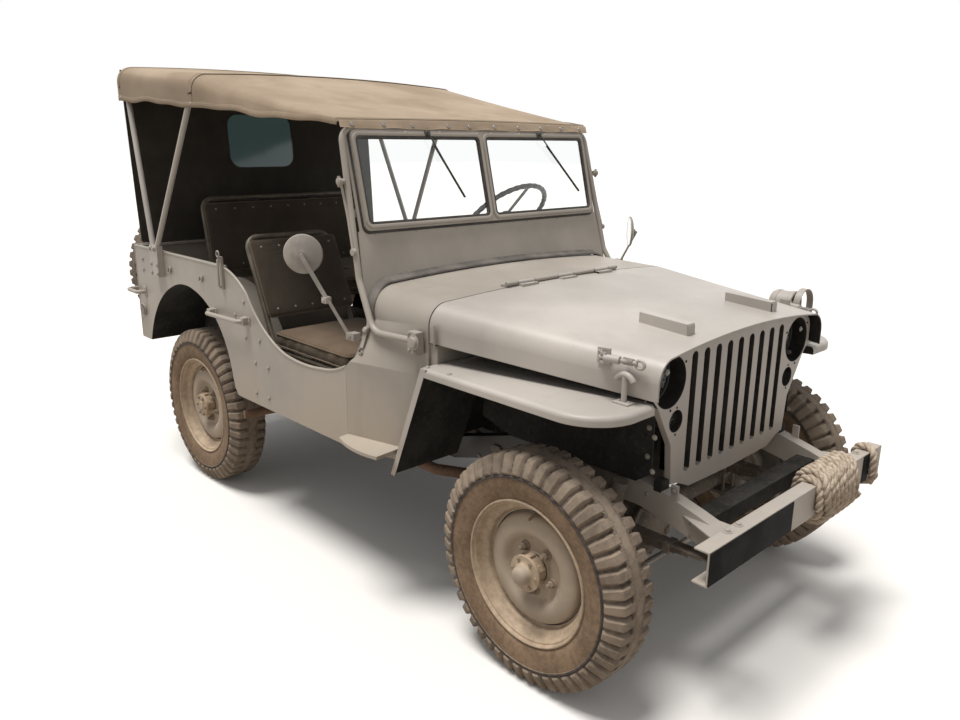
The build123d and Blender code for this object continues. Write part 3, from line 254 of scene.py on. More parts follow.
def smooth_line(points):
    """Points along the NURBS line that has these control points."""
    curve = bpy.data.curves.new("line", "CURVE")
    curve.dimensions = "3D"
    curve.resolution_u = 10
    spline = curve.splines.new("NURBS")
    spline.points.add(len(points) - 1)
    for point, place in zip(spline.points, points):
        point.co = (*place, 1)
    spline.order_u = 3
    spline.use_endpoint_u = True
    holder = bpy.data.objects.new("line", curve)
    mesh = bpy.data.meshes.new_from_object(holder)
    found = [v.co.copy() for v in mesh.vertices]
    bpy.data.objects.remove(holder)
    bpy.data.meshes.remove(mesh)
    bpy.data.curves.remove(curve)
    return found


def facing(point, towards):
    """A place at a point whose Z looks towards a direction."""
    return Matrix.Translation(point) @ Vector(towards).to_track_quat("Z", "Y").to_matrix().to_4x4()


def rope_finish():
    mix = Recipe("rope_fibre")
    strand = mix.noise(55, 6, 0.7)
    patch = mix.noise(9, 3)
    colour = mix.blend(mix.step(strand, 0.3, 0.72), (0.30, 0.235, 0.175), (0.66, 0.56, 0.45))
    colour = mix.blend(mix.step(patch, 0.45, 0.75) * 0.5, colour, (0.36, 0.28, 0.21))
    return mix.shader(Base_Color=colour, Roughness=0.92,
                      Normal=mix.bump(mix.noise(420, 3, 0.5), 0.0016))


rope_radius = 12.5
bumper_mid_x = 466.5
bumper_mid_z = 509.0
bumper_half_depth = 22.5
bumper_half_height = 49.0
# Corners of one turn as seen from the car's left: side along X and side along Z
turn_corners = [(1, -0.45), (1, 0.45), (0.55, 1), (-0.55, 1),
                (-1, 0.45), (-1, -0.45), (-0.55, -1), (0.55, -1)]


def winding(y_start, y_end, turns, off, slant=0.0):
    """Control points of turns round the bumper, off being the line's distance from it."""
    points = []
    steps = turns * len(turn_corners)
    for k in range(steps + 1):
        sx, sz = turn_corners[k % len(turn_corners)]
        y = y_start + (y_end - y_start) * k / steps
        if sx > 0.9:
            y += slant * sz
        points.append(car(bumper_mid_x + sx * (bumper_half_depth + off), y,
                          bumper_mid_z + sz * (bumper_half_height + off)))
    return points


def lay(angle):
    """Outline of three strands laid together."""
    return 0.70 + 0.36 * abs(math.cos(1.5 * angle)) ** 0.7


rope_material = rope_finish()
twist_length = 0.072
strand_twist = 2 * math.pi / twist_length
first_layer = rope_radius + 1
rope_lines = {
    "rope_under": winding(54, 298, 10, first_layer),
    "rope_over": winding(66, 292, 8, rope_radius * 2.5, slant=-26),
    "rope_end_hitch": winding(452, 474, 1, first_layer) + [car(500, 478, 470), car(488, 470, 445)],
}
for name, line in rope_lines.items():
    strands = Shape()
    strands.rings(tube_rings(smooth_line(line), rope_radius / 1000, 24, strand_twist, lay), caps=True)
    rope = strands.made(name, rope_material, slot="rope_fibre", crease=80)
    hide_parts("bumper_rope")


# Paint: one satin light grey, brushed on by hand and faded by weather, with dust from the
# road on the lower parts and dirt in streaks. Tub, cowl and windshield are darker, as painted shade.
road_dust = (0.40, 0.33, 0.25)
# Near black, painted as shade over the frame under the body
frame_shade_colour = (0.030, 0.024, 0.020)


def weathered_paint(name, colour, dust_top=0.75, dusty=0.55, rough=0.42, chips=0.0, shade_behind=None):
    """Dust lies below dust_top, chips show dark metal, and all behind the given x is darkened as painted
    shade.
    """
    mix = Recipe(name)
    cloud = mix.noise(1.7, 5)
    speck = mix.noise(38, 5, 0.65)
    streak_place = mix.node("ShaderNodeMapping", None, {"Vector": mix.place, "Scale": (9, 9, 0.9)})
    streak = mix.noise(1.0, 4, 0.6, streak_place)
    pale = tuple(min(1, c * 1.10) for c in colour)
    deep = tuple(c * 0.84 for c in colour)
    base = mix.blend(mix.step(cloud, 0.35, 0.68), deep, pale)
    base = mix.blend(mix.step(streak, 0.56, 0.78) * 0.35, base, tuple(c * 0.70 for c in colour))
    low = mix.step(mix.part(2) + (speck - 0.5) * 0.5, dust_top, dust_top - 0.55)
    settled = low * mix.step(cloud + speck * 0.4, 0.45, 0.95) * dusty
    base = mix.blend(settled, base, road_dust)
    if chips:
        worn = mix.step(speck, 0.66, 0.70) * chips
        base = mix.blend(worn, base, (0.07, 0.05, 0.04))
    # Behind the given x the colour turns near black: painted shade under the body
    if shade_behind:
        behind = mix.step(mix.part(0) + (cloud - 0.5) * 0.2, shade_behind, shade_behind - 0.2)
        base = mix.blend(behind, base, frame_shade_colour)
    sheen = settled * 0.35 + (speck - 0.5) * 0.16 + rough
    rounded = mix.node("ShaderNodeBevel", {"samples": 3}, {"Radius": 0.0035})
    dents = mix.bump(mix.noise(3.2, 2), 0.006, 0.5, rounded)
    normal = mix.bump(mix.noise(240, 2), 0.00025, 0.5, dents)
    return mix.shader(Base_Color=base, Roughness=sheen, Normal=normal, Specular_IOR_Level=0.42)


def dress(material, *names):
    """Gives solids of the frame their finish."""
    for name in names:
        node = nodes[name]
        node.data.materials.clear()
        node.data.materials.append(material)
        node.data.shade_smooth()
        node.data.set_sharp_from_angle(angle=math.radians(32))


body_paint = weathered_paint("body_paint", (0.440, 0.408, 0.375), dust_top=0.95, dusty=0.75)
frame_paint = weathered_paint("frame_paint", (0.25, 0.225, 0.20), dusty=0.75, rough=0.55, chips=0.35)
# A darker copy of the body grey: painted shade on the upright tub, cowl and windshield
shaded_tub_paint = weathered_paint("shaded_tub_paint", (0.376, 0.340, 0.298), dust_top=0.95, dusty=0.75)
dress(body_paint, "grille", "fender_right", "fender_left", "hood", "top_bows", "front_bumper")
dress(shaded_tub_paint, "cowl", "body_side_right", "body_side_left", "rear_panel", "floor",
      "windshield_frame", "body_fittings", "rear_fittings")
# The frame's paint turns near black behind the front axle, as painted shade.
chassis_paint = weathered_paint("chassis_paint", (0.400, 0.365, 0.330), rough=0.5, chips=0.2,
                                shade_behind=car(150, 0, 0).x)
dress(chassis_paint, "chassis_frame")


# Bumper: the channel's face carries a black blank plate over its right half and a short
# one at the left end, and bolts hold it to the frame's gussets.
def plain_paint(name, colour, rough=0.5, grain=160, depth=0.0004, speck_share=0.25, metallic=0.0,
                gloss=0.5):
    """A finish of one colour with its own dust and grain."""
    mix = Recipe(name)
    speck = mix.noise(grain * 0.4, 5, 0.65)
    cloud = mix.noise(11, 3)
    dark = tuple(c * 0.72 for c in colour)
    light = tuple(min(1, c * 1.22 + 0.01) for c in colour)
    base = mix.blend(mix.step(cloud, 0.35, 0.7), dark, light)
    base = mix.blend(mix.step(speck, 0.5, 0.75) * speck_share, base, (0.36, 0.30, 0.23))
    return mix.shader(Base_Color=base, Roughness=(speck - 0.5) * 0.2 + rough, Metallic=metallic,
                      Normal=mix.bump(mix.noise(grain, 3), depth), Specular_IOR_Level=gloss)


plate_black = plain_paint("plate_black", (0.010, 0.010, 0.010), 0.7, speck_share=0.04, gloss=0.06)
plate_x = 490.2
plate_height = 93
for name, y0, y1 in (("number_plate_blank", -543, -95), ("left_plate_blank", 398, 446)):
    face = Shape().block(car(plate_x, (y0 + y1) / 2, bumper_mid_z),
                         (0.0022, (y1 - y0) / 1000, plate_height / 1000), 0.0008)
    face.made(name, plate_black, slot="dark_paint")


def bolt_head(shape, point, towards, width=14.0, height=6.0, washer=True):
    """A hexagon head on a washer, standing on a surface."""
    place = facing(point, towards)
    r = width / 2000
    if washer:
        shape.turned(place, [(0, 0), (r * 1.55, 0), (r * 1.55, 0.0014), (r * 1.2, 0.0018),
                             (0, 0.0018)], 24)
    top = height / 1000
    shape.turned(place, [(r, 0.001), (r, top * 0.8), (r * 0.86, top), (0, top)], 6)
    return shape


def rivet_head(shape, point, towards, width=10.0, height=3.0):
    """A low round head."""
    r = width / 2000
    h = height / 1000
    profile = [(r * math.cos(a), h * math.sin(a)) for a in (0, 0.4, 0.8, 1.2, math.pi / 2)]
    return shape.turned(facing(point, towards), profile, 12)


bumper_top = bumper_mid_z + bumper_half_height
bolts = Shape()
for side in (1, -1):
    for y in (352, 408):
        bolt_head(bolts, car(458, side * y, bumper_top), (0, 0, 1), 17, 8)
bolts.made("bumper_bolts", body_paint, slot="body_paint")


# Frame: riveted channel rails in weathered paint. Rivets fasten the cross members and
# gussets, and a bolt with its nut closes each hook by the grille's lower corners.
rail_side_y = 371.4
rivets = Shape()
for side in (1, -1):
    for x, z in ((400, 500), (420, 480), (330, 520), (330, 488), (180, 560), (-120, 560), (-520, 470),
                 (-1000, 470), (-1500, 470), (-1540, 470), (-1900, 540), (-2480, 540)):
        rivet_head(rivets, car(x, side * rail_side_y, z), (0, side, 0), 13, 5)
    bolt_head(rivets, car(269, side * 371.5, 598), (0, side, 0), 13, 7)
    for z in (690, 775, 850):
        bolt_head(rivets, car(196, side * 405.2, z), (0, side, 0), 11, 5)
rivets.made("frame_rivets", frame_paint, slot="dark_paint")


# Tyres: cross-country tyres with 48 bars a side that run over the shoulder and down the
# wall. The two rows are staggered and meet in a solid band along the tread's middle.
bar_count = 48
bar_pitch = 2 * math.pi / bar_count
tyre_radius = 351
bar_half_share = 0.305
groove_half_share = 0.200
# A side's rows of bars are set off by half a pitch from the other side's
row_shift = {1: 0.25, -1: 0.75}
# Outline of the casing as (half width, radius), from the bead to the middle of the tread
casing = [(58, 206), (64, 214), (66, 221), (70.5, 227), (74.5, 238), (77.6, 252), (79.3, 266),
          (80.0, 280), (80.0, 284), (82.2, 285.5), (82.6, 290), (80.0, 292), (78.0, 298), (75.0, 305),
          (70, 316), (63, 326), (55, 333), (44, 337.5), (22, 338), (20.6, 346), (19, 350.4),
          (9, tyre_radius), (0, tyre_radius)]
# The same for a bar, which stands on the casing, and for its foot
bar_line = [(19, 351), (38, 350.7), (57, 350), (62, 348.6), (64.5, 346), (68, 339), (76, 322.5),
            (83.2, 307), (84.4, 301.5), (82.4, 297.5)]
bar_foot = [(19, 337.5), (38, 337.5), (44, 337), (48, 335.5), (51, 334), (57, 330), (66, 320),
            (74.5, 304.5), (76.5, 300), (78.5, 296)]
edge_drop = 2.2
edge_width = 2.6


def on_turn(place, angle, side, half_width, radius):
    """A point of a tyre about a place's local Y, from millimetres."""
    return place @ Vector((math.cos(angle) * radius / 1000, side * half_width / 1000,
                           math.sin(angle) * radius / 1000))


def groove_end(shape, place, side, middle, half):
    """Rounds a groove's inner end: a web between two bars with a half-round edge."""
    rows = [[], [], []]
    reach = half * tyre_radius
    for k in range(9):
        share = k / 4 - 1
        a = middle + half * share
        y = 22 + reach * (1 - math.sqrt(max(0.0, 1 - share * share)))
        for row, (half_width, radius) in zip(rows, ((15, 350.6), (y + 1, 350.4), (y + 3, 337))):
            row.append(on_turn(place, a, side, half_width, radius))
    shape.rings(rows, around=False)


def tyre_shape(place):
    """A tyre about the local Y of a place, its outer side towards +Y."""
    shape = Shape()
    along_y = place @ Matrix.Rotation(math.radians(-90), 4, "X")
    line = casing + [(-w, r) for w, r in reversed(casing[:-1])]
    shape.turned(along_y, [(r / 1000, w / 1000) for w, r in line], 144)
    for side in (1, -1):
        for k in range(bar_count):
            middle = (k + row_shift[side]) * bar_pitch
            rings = []
            for (w, r), (foot_w, foot_r) in zip(bar_line, bar_foot):
                narrow = max(0.0, min(1.0, (348 - r) / 50))
                half = bar_pitch * (bar_half_share - 0.030 * narrow)
                lip = edge_width / r
                corners = ((-half - 0.020, foot_w, foot_r), (-half, w - 1.4, r - edge_drop),
                           (-half + lip, w, r), (half - lip, w, r), (half, w - 1.4, r - edge_drop),
                           (half + 0.020, foot_w, foot_r))
                rings.append([on_turn(place, middle + a, side, y, radius) for a, y, radius in corners])
            shape.rings(rings, around=False)
            for end in (rings[0], rings[-1]):
                shape.mesh.faces.new([shape.mesh.verts.new(p) for p in end])
            groove_end(shape, place, side, middle + bar_pitch / 2, bar_pitch * groove_half_share)
    return shape


def tyre_finish(name, clay=1.0):
    """Black rubber under dried mud: dust says how thick it lies, and also gives bar edges a painted
    highlight and groove floors painted shade.
    """
    mix = Recipe(name)
    speck = mix.noise(60, 6, 0.7)
    cloud = mix.noise(7, 4)
    dust = mix.node("ShaderNodeAttribute", {"attribute_name": "dust"}, out="Fac")
    rubber = mix.blend(mix.step(speck, 0.35, 0.7), (0.042, 0.034, 0.030), (0.098, 0.080, 0.070))
    bar = mix.blend(mix.step(cloud + speck * 0.5, 0.5, 0.95), (0.150, 0.118, 0.090),
                    (0.285, 0.228, 0.176))
    wall = mix.blend(mix.step(cloud * 0.5 + speck * 0.7, 0.45, 0.75), (0.150, 0.100, 0.064),
                     (0.262, 0.184, 0.120))
    wall = mix.blend(mix.step(speck, 0.60, 0.68) * 0.45, wall, (0.085, 0.060, 0.042))
    base = mix.blend(mix.step(dust + (speck - 0.5) * 0.35, 0.05, 0.5) * clay, rubber, bar)
    base = mix.blend(mix.step(dust + (speck - 0.5) * 0.1, 0.65, 0.8) * clay, base, wall)
    grit = mix.bump(mix.noise(300, 4, 0.7), 0.0009)
    return mix.shader(Base_Color=base, Roughness=(speck - 0.5) * 0.15 + 0.86, Normal=grit,
                      Specular_IOR_Level=0.3)


def wall_mud_and_shade(radius):
    """Share of mud at a distance from the axle's line, in millimetres. Between the bars the casing gets a
    low share, darker than the bars as painted shade.
    """
    if radius < 284.8:
        return 1.0
    if radius < 297.8:
        return 0.05
    if radius < 346:
        return 0.26
    return 0.30


def paint_mud_and_light(piece, place):
    """Writes each vertex's share of mud: bars are paler along their edges as a painted highlight."""
    data = piece.data
    layer = data.attributes.new("dust", "FLOAT", "POINT")
    back = place.inverted()
    bar_points = {round(r - drop, 1) for _, r in bar_line for drop in (0, edge_drop)}
    for k, v in enumerate(data.vertices):
        p = back @ v.co
        radius = math.hypot(p.x, p.z) * 1000
        share = wall_mud_and_shade(radius)
        # A bar's edges get a high share: a pale painted highlight
        if radius > 294 and round(radius, 1) in bar_points:
            turn = math.atan2(p.z, p.x) / bar_pitch - row_shift[1 if p.y > 0 else -1]
            off = abs((turn + 0.5) % 1 - 0.5)
            share = 0.68 if off > 0.25 or radius < 299 else 0.42 if radius > 346 else 0.50
        layer.data[k].value = share


def middle_of(node):
    low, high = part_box(node)
    return (low + high) / 2


tyre_rubber = tyre_finish("tyre_rubber")
spare_rubber = tyre_finish("spare_rubber", 0.45)
corners = {"front_left": 1, "front_right": -1, "rear_left": 1, "rear_right": -1}
for corner, side in corners.items():
    hub = middle_of("tyre_" + corner)
    place = Matrix.Translation(hub) @ (Matrix.Rotation(math.pi, 4, "Z") if side < 0 else Matrix())
    tyre = tyre_shape(place).made("bar_tyre_" + corner, tyre_rubber, "wheel_" + corner,
                                  "tyre_rubber", 24)
    paint_mud_and_light(tyre, place)
    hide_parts("tyre_" + corner)
spare_hub = middle_of("spare_tyre")
spare_place = Matrix.Translation(spare_hub) @ Matrix.Rotation(math.pi / 2, 4, "Z")
spare = tyre_shape(spare_place).made("bar_tyre_spare", spare_rubber, slot="tyre_rubber", crease=24)
paint_mud_and_light(spare, spare_place)
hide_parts("spare_tyre")


# Wheels: pressed steel discs in tan-grey paint under road dust, with five nuts, a brake
# drum behind and, on the axle's end, a ribbed hub and a bolted flange, in front with a cap.
def wheel_finish(name, dusty):
    """Grey paint that shows on the disc's dome, under tan dust in rim and hollows."""
    mix = Recipe(name)
    speck = mix.noise(45, 5, 0.65)
    cloud = mix.noise(6, 4)
    dust = mix.node("ShaderNodeAttribute", {"attribute_name": "dust"}, out="Fac")
    paint = mix.blend(mix.step(cloud, 0.35, 0.7), (0.345, 0.285, 0.222), (0.430, 0.362, 0.290))
    tan = mix.blend(mix.step(speck, 0.3, 0.7), (0.335, 0.256, 0.182), (0.470, 0.365, 0.262))
    lying = mix.step(dust + (cloud - 0.5) * 0.5 + (speck - 0.5) * 0.25, 0.15, 0.85)
    base = mix.blend(lying * dusty, paint, tan)
    base = mix.blend(mix.step(dust, -0.1, -0.3), base, (0.035, 0.027, 0.021))
    return mix.shader(Base_Color=base, Roughness=(speck - 0.5) * 0.2 + 0.62, Specular_IOR_Level=0.35,
                      Normal=mix.bump(mix.noise(200, 3), 0.0004))


wheel_paint = wheel_finish("wheel_paint", 1.0)
spare_paint = wheel_finish("spare_wheel_paint", 0.25)
nut_metal = plain_paint("nut_metal", (0.27, 0.205, 0.148), 0.7, speck_share=0.4)
# Section of rim and disc as (radius, distance outwards from the wheel's middle plane)
rim_outer = [(219, 70), (218, 71.5), (215.5, 72), (213, 70.5), (211.5, 66), (210.5, 60.5), (207, 57),
             (203.5, 54), (202, 47), (199, 40), (193, 35), (186, 32.5), (183, 29), (181, 23), (179, 17),
             (175, 13.5), (172, 13), (171, 12), (170.5, 9)]
disc_line = [(166.5, 9), (166.5, 13), (166, 16), (164.5, 24), (161, 29), (154, 33.5), (145, 37),
             (134, 39.5), (122, 40.3), (114, 38.5), (107, 34), (101, 27.5), (96, 21.5), (91, 18),
             (84, 16.5), (62, 16), (50, 16.5), (46, 20)]
rim_inner = [(219, 70), (220.3, 66), (218.5, 63), (212, 61.5), (206, 61), (204, 55), (203, 34),
             (198, 28),
             (190, 24), (188, 10), (188, -20), (203, -32), (204, -56), (206, -62), (213, -62),
             (219, -64),
             (219, -70), (214, -71), (198, -66), (196, -36), (183, -24), (178, 8), (166.5, 10)]
disc_back = [(170.5, 9), (164, 14), (150, 29), (122, 36), (108, 29), (98, 16), (90, 11), (60, 10),
             (46, 10), (46, 20)]
stud_circle = 0.070


def metres(line):
    return [(r / 1000, h / 1000) for r, h in line]


def wheel_shape(spot, hub_cap=True, rear=False):
    """A wheel about the local Z of a place, its outer side towards +Z."""
    shape = Shape()
    for line, count in ((rim_inner, 96), (rim_outer, 96), (disc_line, 96), (disc_back, 72)):
        shape.turned(spot, metres(line), count)
    if hub_cap:
        shape.turned(spot, metres([(44, 22), (44, 60)]), 48)
        for k in range(6):
            a = math.radians(60 * k + 30)
            turn = Matrix.Rotation(a, 4, "Z") @ Matrix.Translation((0.0450, 0, 0.0430))
            shape.slab(spot @ turn, (0.014, 0.020, 0.030), 0.003)
        if rear:
            flange = [(30, 54), (50, 54), (52, 56), (52, 64), (50, 66), (24, 66.5), (20, 68),
                      (17, 71), (0, 72)]
            shape.turned(spot, metres(flange), 48)
            return shape
        flange = [(30, 57), (53, 57), (54.5, 58.5), (54.5, 64), (53, 65.5), (36, 66.5), (33, 68),
                  (30.5, 71),
                  (28.5, 75), (27.5, 84), (25, 91.5), (20, 96.5), (12, 99.4), (0, 100)]
        shape.turned(spot, metres(flange), 56)
    return shape


def wheel_nuts(spot, rear):
    """Five nuts on their studs, the flange's bolts and the valve."""
    shape = Shape()
    ahead = (spot.to_3x3() @ Vector((0, 0, 1))).normalized()
    for k in range(5):
        a = math.radians(72 * k - 90)
        seat = spot @ Vector((math.cos(a) * stud_circle, math.sin(a) * stud_circle, 0.0160))
        base = facing(seat, ahead)
        shape.turned(base, metres([(17, 0), (16, 3.5), (12, 7)]), 20)
        bolt_head(shape, seat + ahead * 0.005, ahead, 22, 14, washer=False)
        shape.turned(base, metres([(6, 18), (6, 27), (4.5, 28.5), (0, 28.5)]), 12)
    reach, level, size = (0.040, 0.0655, (15, 10)) if rear else (0.0435, 0.0645, (12, 6))
    for k in range(6):
        a = math.radians(60 * k)
        seat = spot @ Vector((math.cos(a) * reach, math.sin(a) * reach, level))
        bolt_head(shape, seat, ahead, *size, washer=False)
    stem = spot @ Vector((0.0, 0.172, 0.014))
    out = (spot.to_3x3() @ Vector((0, 1, 0))).normalized()
    shape.rod([stem, stem + ahead * 0.014, stem + ahead * 0.026 - out * 0.006,
               stem + ahead * 0.040 - out * 0.010], 0.0042)
    return shape


def wheel_dust(piece, spot):
    """Dust lies in rim and hollows, and least on the disc's dome and the cap."""
    back = spot.inverted()
    layer = piece.data.attributes.new("dust", "FLOAT", "POINT")
    for k, v in enumerate(piece.data.vertices):
        p = back @ v.co
        r = math.hypot(p.x, p.y) * 1000
        share = 0.9 if r > 170 else 0.30 if r > 106 else 0.45
        if 165.9 < r < 172.5 and p.z < 0.0135:
            share = -0.4
        elif r < 60 and p.z > 0.022:
            share = 0.1 if r < 29 and p.z > 0.074 else 0.95
        layer.data[k].value = share


for corner, side in corners.items():
    spot = facing(middle_of("tyre_" + corner), (0, side, 0))
    rear = corner.startswith("rear")
    body = "wheel_" + corner
    wheel = wheel_shape(spot, rear=rear).made("disc_" + body, wheel_paint, body, "wheel_paint", 30)
    wheel_dust(wheel, spot)
    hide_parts("wheel_" + corner)
    wheel_nuts(spot, rear=rear).made("wheel_nuts_" + corner, nut_metal, body, "wheel_paint", 30)
    drum = Shape().turned(spot, metres([(20, -2), (118, -2), (126, -4), (128, -2), (128, 4), (122, 7),
                                        (60, 8), (20, 8)]), 64)
    drum.made("brake_drum_" + corner, frame_paint, body, "underbody", 30)
spot = facing(spare_hub, (-1, 0, 0))
spare_wheel = wheel_shape(spot, hub_cap=False)
spare_wheel = spare_wheel.made("disc_wheel_spare", spare_paint, slot="wheel_paint", crease=30)
wheel_dust(spare_wheel, spot)
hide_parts("spare_wheel")
carrier = Shape()
for k in range(3):
    a = math.radians(90 + 120 * k)
    stud = spot @ Vector((math.cos(a) * stud_circle, math.sin(a) * stud_circle, 0))
    carrier.rod([Vector((car(-2556, 0, 0).x, stud.y, stud.z)), stud + Vector((-0.044, 0, 0))], 0.008)
    bolt_head(carrier, stud + Vector((-0.0275, 0, 0)), (-1, 0, 0), 24, 15, washer=False)
carrier.turned(facing(car(-2556.5, -330, 885), (-1, 0, 0)),
               metres([(0, 0), (105, 0), (105, 3), (92, 12), (60, 20), (60, 161), (0, 162)]), 40)
carrier.made("spare_wheel_carrier", shaded_tub_paint, slot="body_paint", crease=30)


# Grille: a pressed sheet with nine slots, its flanges screwed to the fenders' aprons.
# Behind it stands the radiator, whose core is a block of fine vertical fins.
def steel(name, colour, rough, metallic=0.9):
    mix = Recipe(name)
    smear = mix.noise(24, 4)
    return mix.shader(Base_Color=mix.blend(smear, tuple(c * 0.8 for c in colour), colour),
                      Metallic=metallic,
                      Roughness=(smear - 0.5) * 0.18 + rough,
                      Normal=mix.bump(mix.noise(120, 2), 0.0002))


def finned(name, colour):
    """Fine upright fins, cut into a dark block by its relief, with painted shade between them."""
    mix = Recipe(name)
    wave = mix.sine(mix.part(1) * 1100.0)
    down = mix.sine(mix.part(2) * 420.0)
    height = mix.step(wave, -0.3, 0.6) + mix.step(down, 0.8, 1.0) * 0.6
    # Between the fins the colour drops to a quarter: painted shade
    base = mix.blend(mix.step(wave, -0.5, 0.5), tuple(c * 0.25 for c in colour), colour)
    return mix.shader(Base_Color=base, Roughness=0.7, Normal=mix.bump(height, 0.004),
                      Specular_IOR_Level=0.1)


core_black = finned("core_black", (0.013, 0.012, 0.011))
dress(core_black, "radiator")
grille_face_x = 232.2
forward = (1, 0, 0)
grille_bolts = Shape()
for side in (1, -1):
    for z in (650, 752):
        bolt_head(grille_bolts, car(216, side * 406, z), (0, side, 0), 11, 5)
    bolt_head(grille_bolts, car(grille_face_x, side * 393, 940), forward, 11, 5)
grille_bolts.made("grille_bolts", body_paint, slot="body_paint")


# Lamps: the headlamps and markers sit in deep holes of the grille, whose buckets and rims are
# near black as painted shade. Each is a bright bowl behind clear ribbed glass; the cylinder on
# the left fender is the night lamp.
chrome = steel("lamp_chrome", (0.26, 0.26, 0.26), 0.10, 1.0)
rim_metal = steel("lamp_rim", (0.30, 0.28, 0.25), 0.38, 0.8)
# Near black for the lamps' buckets and rims: painted shade
lamp_hole_shade = plain_paint("lamp_hole_painted_shade", (0.020, 0.018, 0.017), 0.5, speck_share=0.05, gloss=0.25)


def clear(name, colour=(1, 1, 1), rough=0.03, ribs=None, reach=0.0012):
    """Thin clear glass or film."""
    mix = Recipe(name)
    given = {"Base_Color": colour, "Roughness": rough, "Transmission_Weight": 1.0, "IOR": 1.45}
    if ribs:
        given["Normal"] = mix.bump(mix.sine(mix.part(1) * ribs), reach)
    return mix.shader(**given)


lens_glass = clear("lens_glass", rough=0.02, ribs=900.0)
marker_glass = clear("marker_glass", (1.0, 0.93, 0.82), 0.05, 1500.0, 0.0008)


def lamp(name, front, towards, radius, depth, lens, rim=None, bulb=0.008):
    """Bowl, bulb, domed glass and rim; front is the middle of the rim's front."""
    spot = facing(front, towards)
    size = radius / 1000
    bowl = Shape()
    inner = size * 0.90
    bowl.turned(spot, [(inner * math.sin(a), -0.004 - depth / 1000 * 0.78 * (math.cos(a) - 0.08))
                       for a in (math.pi / 2 * k / 14 for k in range(14, -1, -1))], 48)
    bowl.made(name + "_bowl", chrome, slot="lamp_glass")
    source = Shape()
    source.turned(spot, [(0, -0.010), (bulb * 0.6, -0.012), (bulb, -0.018), (bulb, -0.026),
                         (bulb * 0.7, -depth / 1000 * 0.72)], 20)
    source.made(name + "_bulb", rim_metal, slot="lamp_glass")
    glass = Shape()
    dome = size * 0.13
    glass.turned(spot, [(0, dome), (size * 0.35, dome * 0.90), (size * 0.6, dome * 0.68),
                        (size * 0.78, dome * 0.36), (size * 0.885, -0.001), (size * 0.885, -0.004),
                        (size * 0.77, dome * 0.36 - 0.004), (size * 0.6, dome * 0.68 - 0.004),
                        (size * 0.35, dome * 0.90 - 0.004), (0, dome - 0.004)], 56)
    glass.made(name + "_glass", lens, slot="lamp_glass")
    ring = Shape()
    shell = [(size * 0.87, -0.003), (size * 0.88, 0.003), (size * 0.93, 0.006), (size * 0.98, 0.003),
             (size, -0.004), (size, -0.016), (size * 0.97, -0.02), (size * 0.9, -depth / 1000 * 0.6),
             (size * 0.68, -depth / 1000 * 0.88), (size * 0.3, -depth / 1000), (0, -depth / 1000)]
    ring.turned(spot, shell, 56)
    ring.made(name + "_rim", rim or rim_metal, slot="dark_paint")
    return spot


headlamp_y, headlamp_z = 371, 907
marker_y, marker_z = 331, 786
buckets = Shape()
for side, word in ((1, "left"), (-1, "right")):
    front = car(178, side * headlamp_y, headlamp_z)
    lamp("headlamp_" + word, front, forward, 73, 54, lens_glass, lamp_hole_shade)
    buckets.turned(facing(front, forward), [(0.0745, 0.0505), (0.0745, -0.052), (0, -0.060)], 56)
    front = car(206, side * marker_y, marker_z)
    lamp("marker_" + word, front, forward, 31, 32, marker_glass, lamp_hole_shade, bulb=0.005)
    buckets.turned(facing(front, forward), [(0.0325, 0.0225), (0.0325, -0.030), (0, -0.034)], 40)
buckets.made("lamp_buckets", lamp_hole_shade, slot="dark_paint")
screws = Shape()
for side in (1, -1):
    for a in (35, 155, 275):
        y = side * headlamp_y + 83 * math.cos(math.radians(a))
        z = headlamp_z + 83 * math.sin(math.radians(a))
        if abs(y) < 452:
            rivet_head(screws, car(grille_face_x, y, z), forward, 8, 2.5)
    for a in (90, 270):
        z = marker_z + 40 * math.sin(math.radians(a))
        rivet_head(screws, car(grille_face_x, side * marker_y, z), forward, 7, 2.2)
screws.made("lamp_screws", core_black, slot="dark_paint")

night_lamp = Shape()
night = facing(car(92, 640, 968), (1, 0, 0))
night_lamp.turned(night, [(0.0, -0.092), (0.026, -0.091), (0.042, -0.084), (0.0495, -0.070),
                          (0.0495, -0.058), (0.047, -0.056), (0.0475, -0.014), (0.0505, -0.012),
                          (0.0505, 0.0), (0.048, 0.002), (0.044, 0.002), (0.043, -0.002),
                          (0.0, -0.002)], 56)
night_lamp.turned(Matrix.Translation(car(50, 640, 868)),
                  [(0.020, 0), (0.020, 0.004), (0.010, 0.006), (0.009, 0.060)], 24)
night_lamp.block(car(50, 640, 870), (0.046, 0.040, 0.004))
night_lamp.made("night_lamp", body_paint, slot="body_paint", crease=34)
night_face = Shape()
night_face.turned(facing(car(91.5, 640, 968), (1, 0, 0)),
                  [(0, 0), (0.030, 0), (0.034, 0.0012), (0.036, 0)], 40)
night_face.block(car(94, 640, 972), (0.006, 0.040, 0.004), 0.0008)
night_face.made("night_lamp_face", plate_black, slot="dark_paint")
hoop = Shape()
hoop_line = [(122, 582, z) for z in (868, 900, 950, 975)]
hoop_line += [(122, 637 - 55 * math.cos(math.radians(a)), 976 + 55 * math.sin(math.radians(a)))
              for a in range(10, 171, 10)]
hoop_line += [(122, 692, z) for z in (975, 950, 900, 868)]
rows = []
for k, (x, y, z) in enumerate(hoop_line):
    ahead = direction(hoop_line, k)
    out = Vector((0, ahead.z, -ahead.y))
    middle = Vector((x, y, z))
    corners = [middle + Vector((dx, 0, 0)) + out * dn
               for dx, dn in ((-12, -1.5), (12, -1.5), (12, 1.5), (-12, 1.5))]
    rows.append([car(*p) for p in corners])
hoop.rings(rows, caps=True)
for y in (572, 688):
    hoop.block(car(122, y, 869.6), (0.024, 0.022, 0.0032), 0.0008)
    bolt_head(hoop, car(122, y, 871), (0, 0, 1), 10, 5, washer=False)
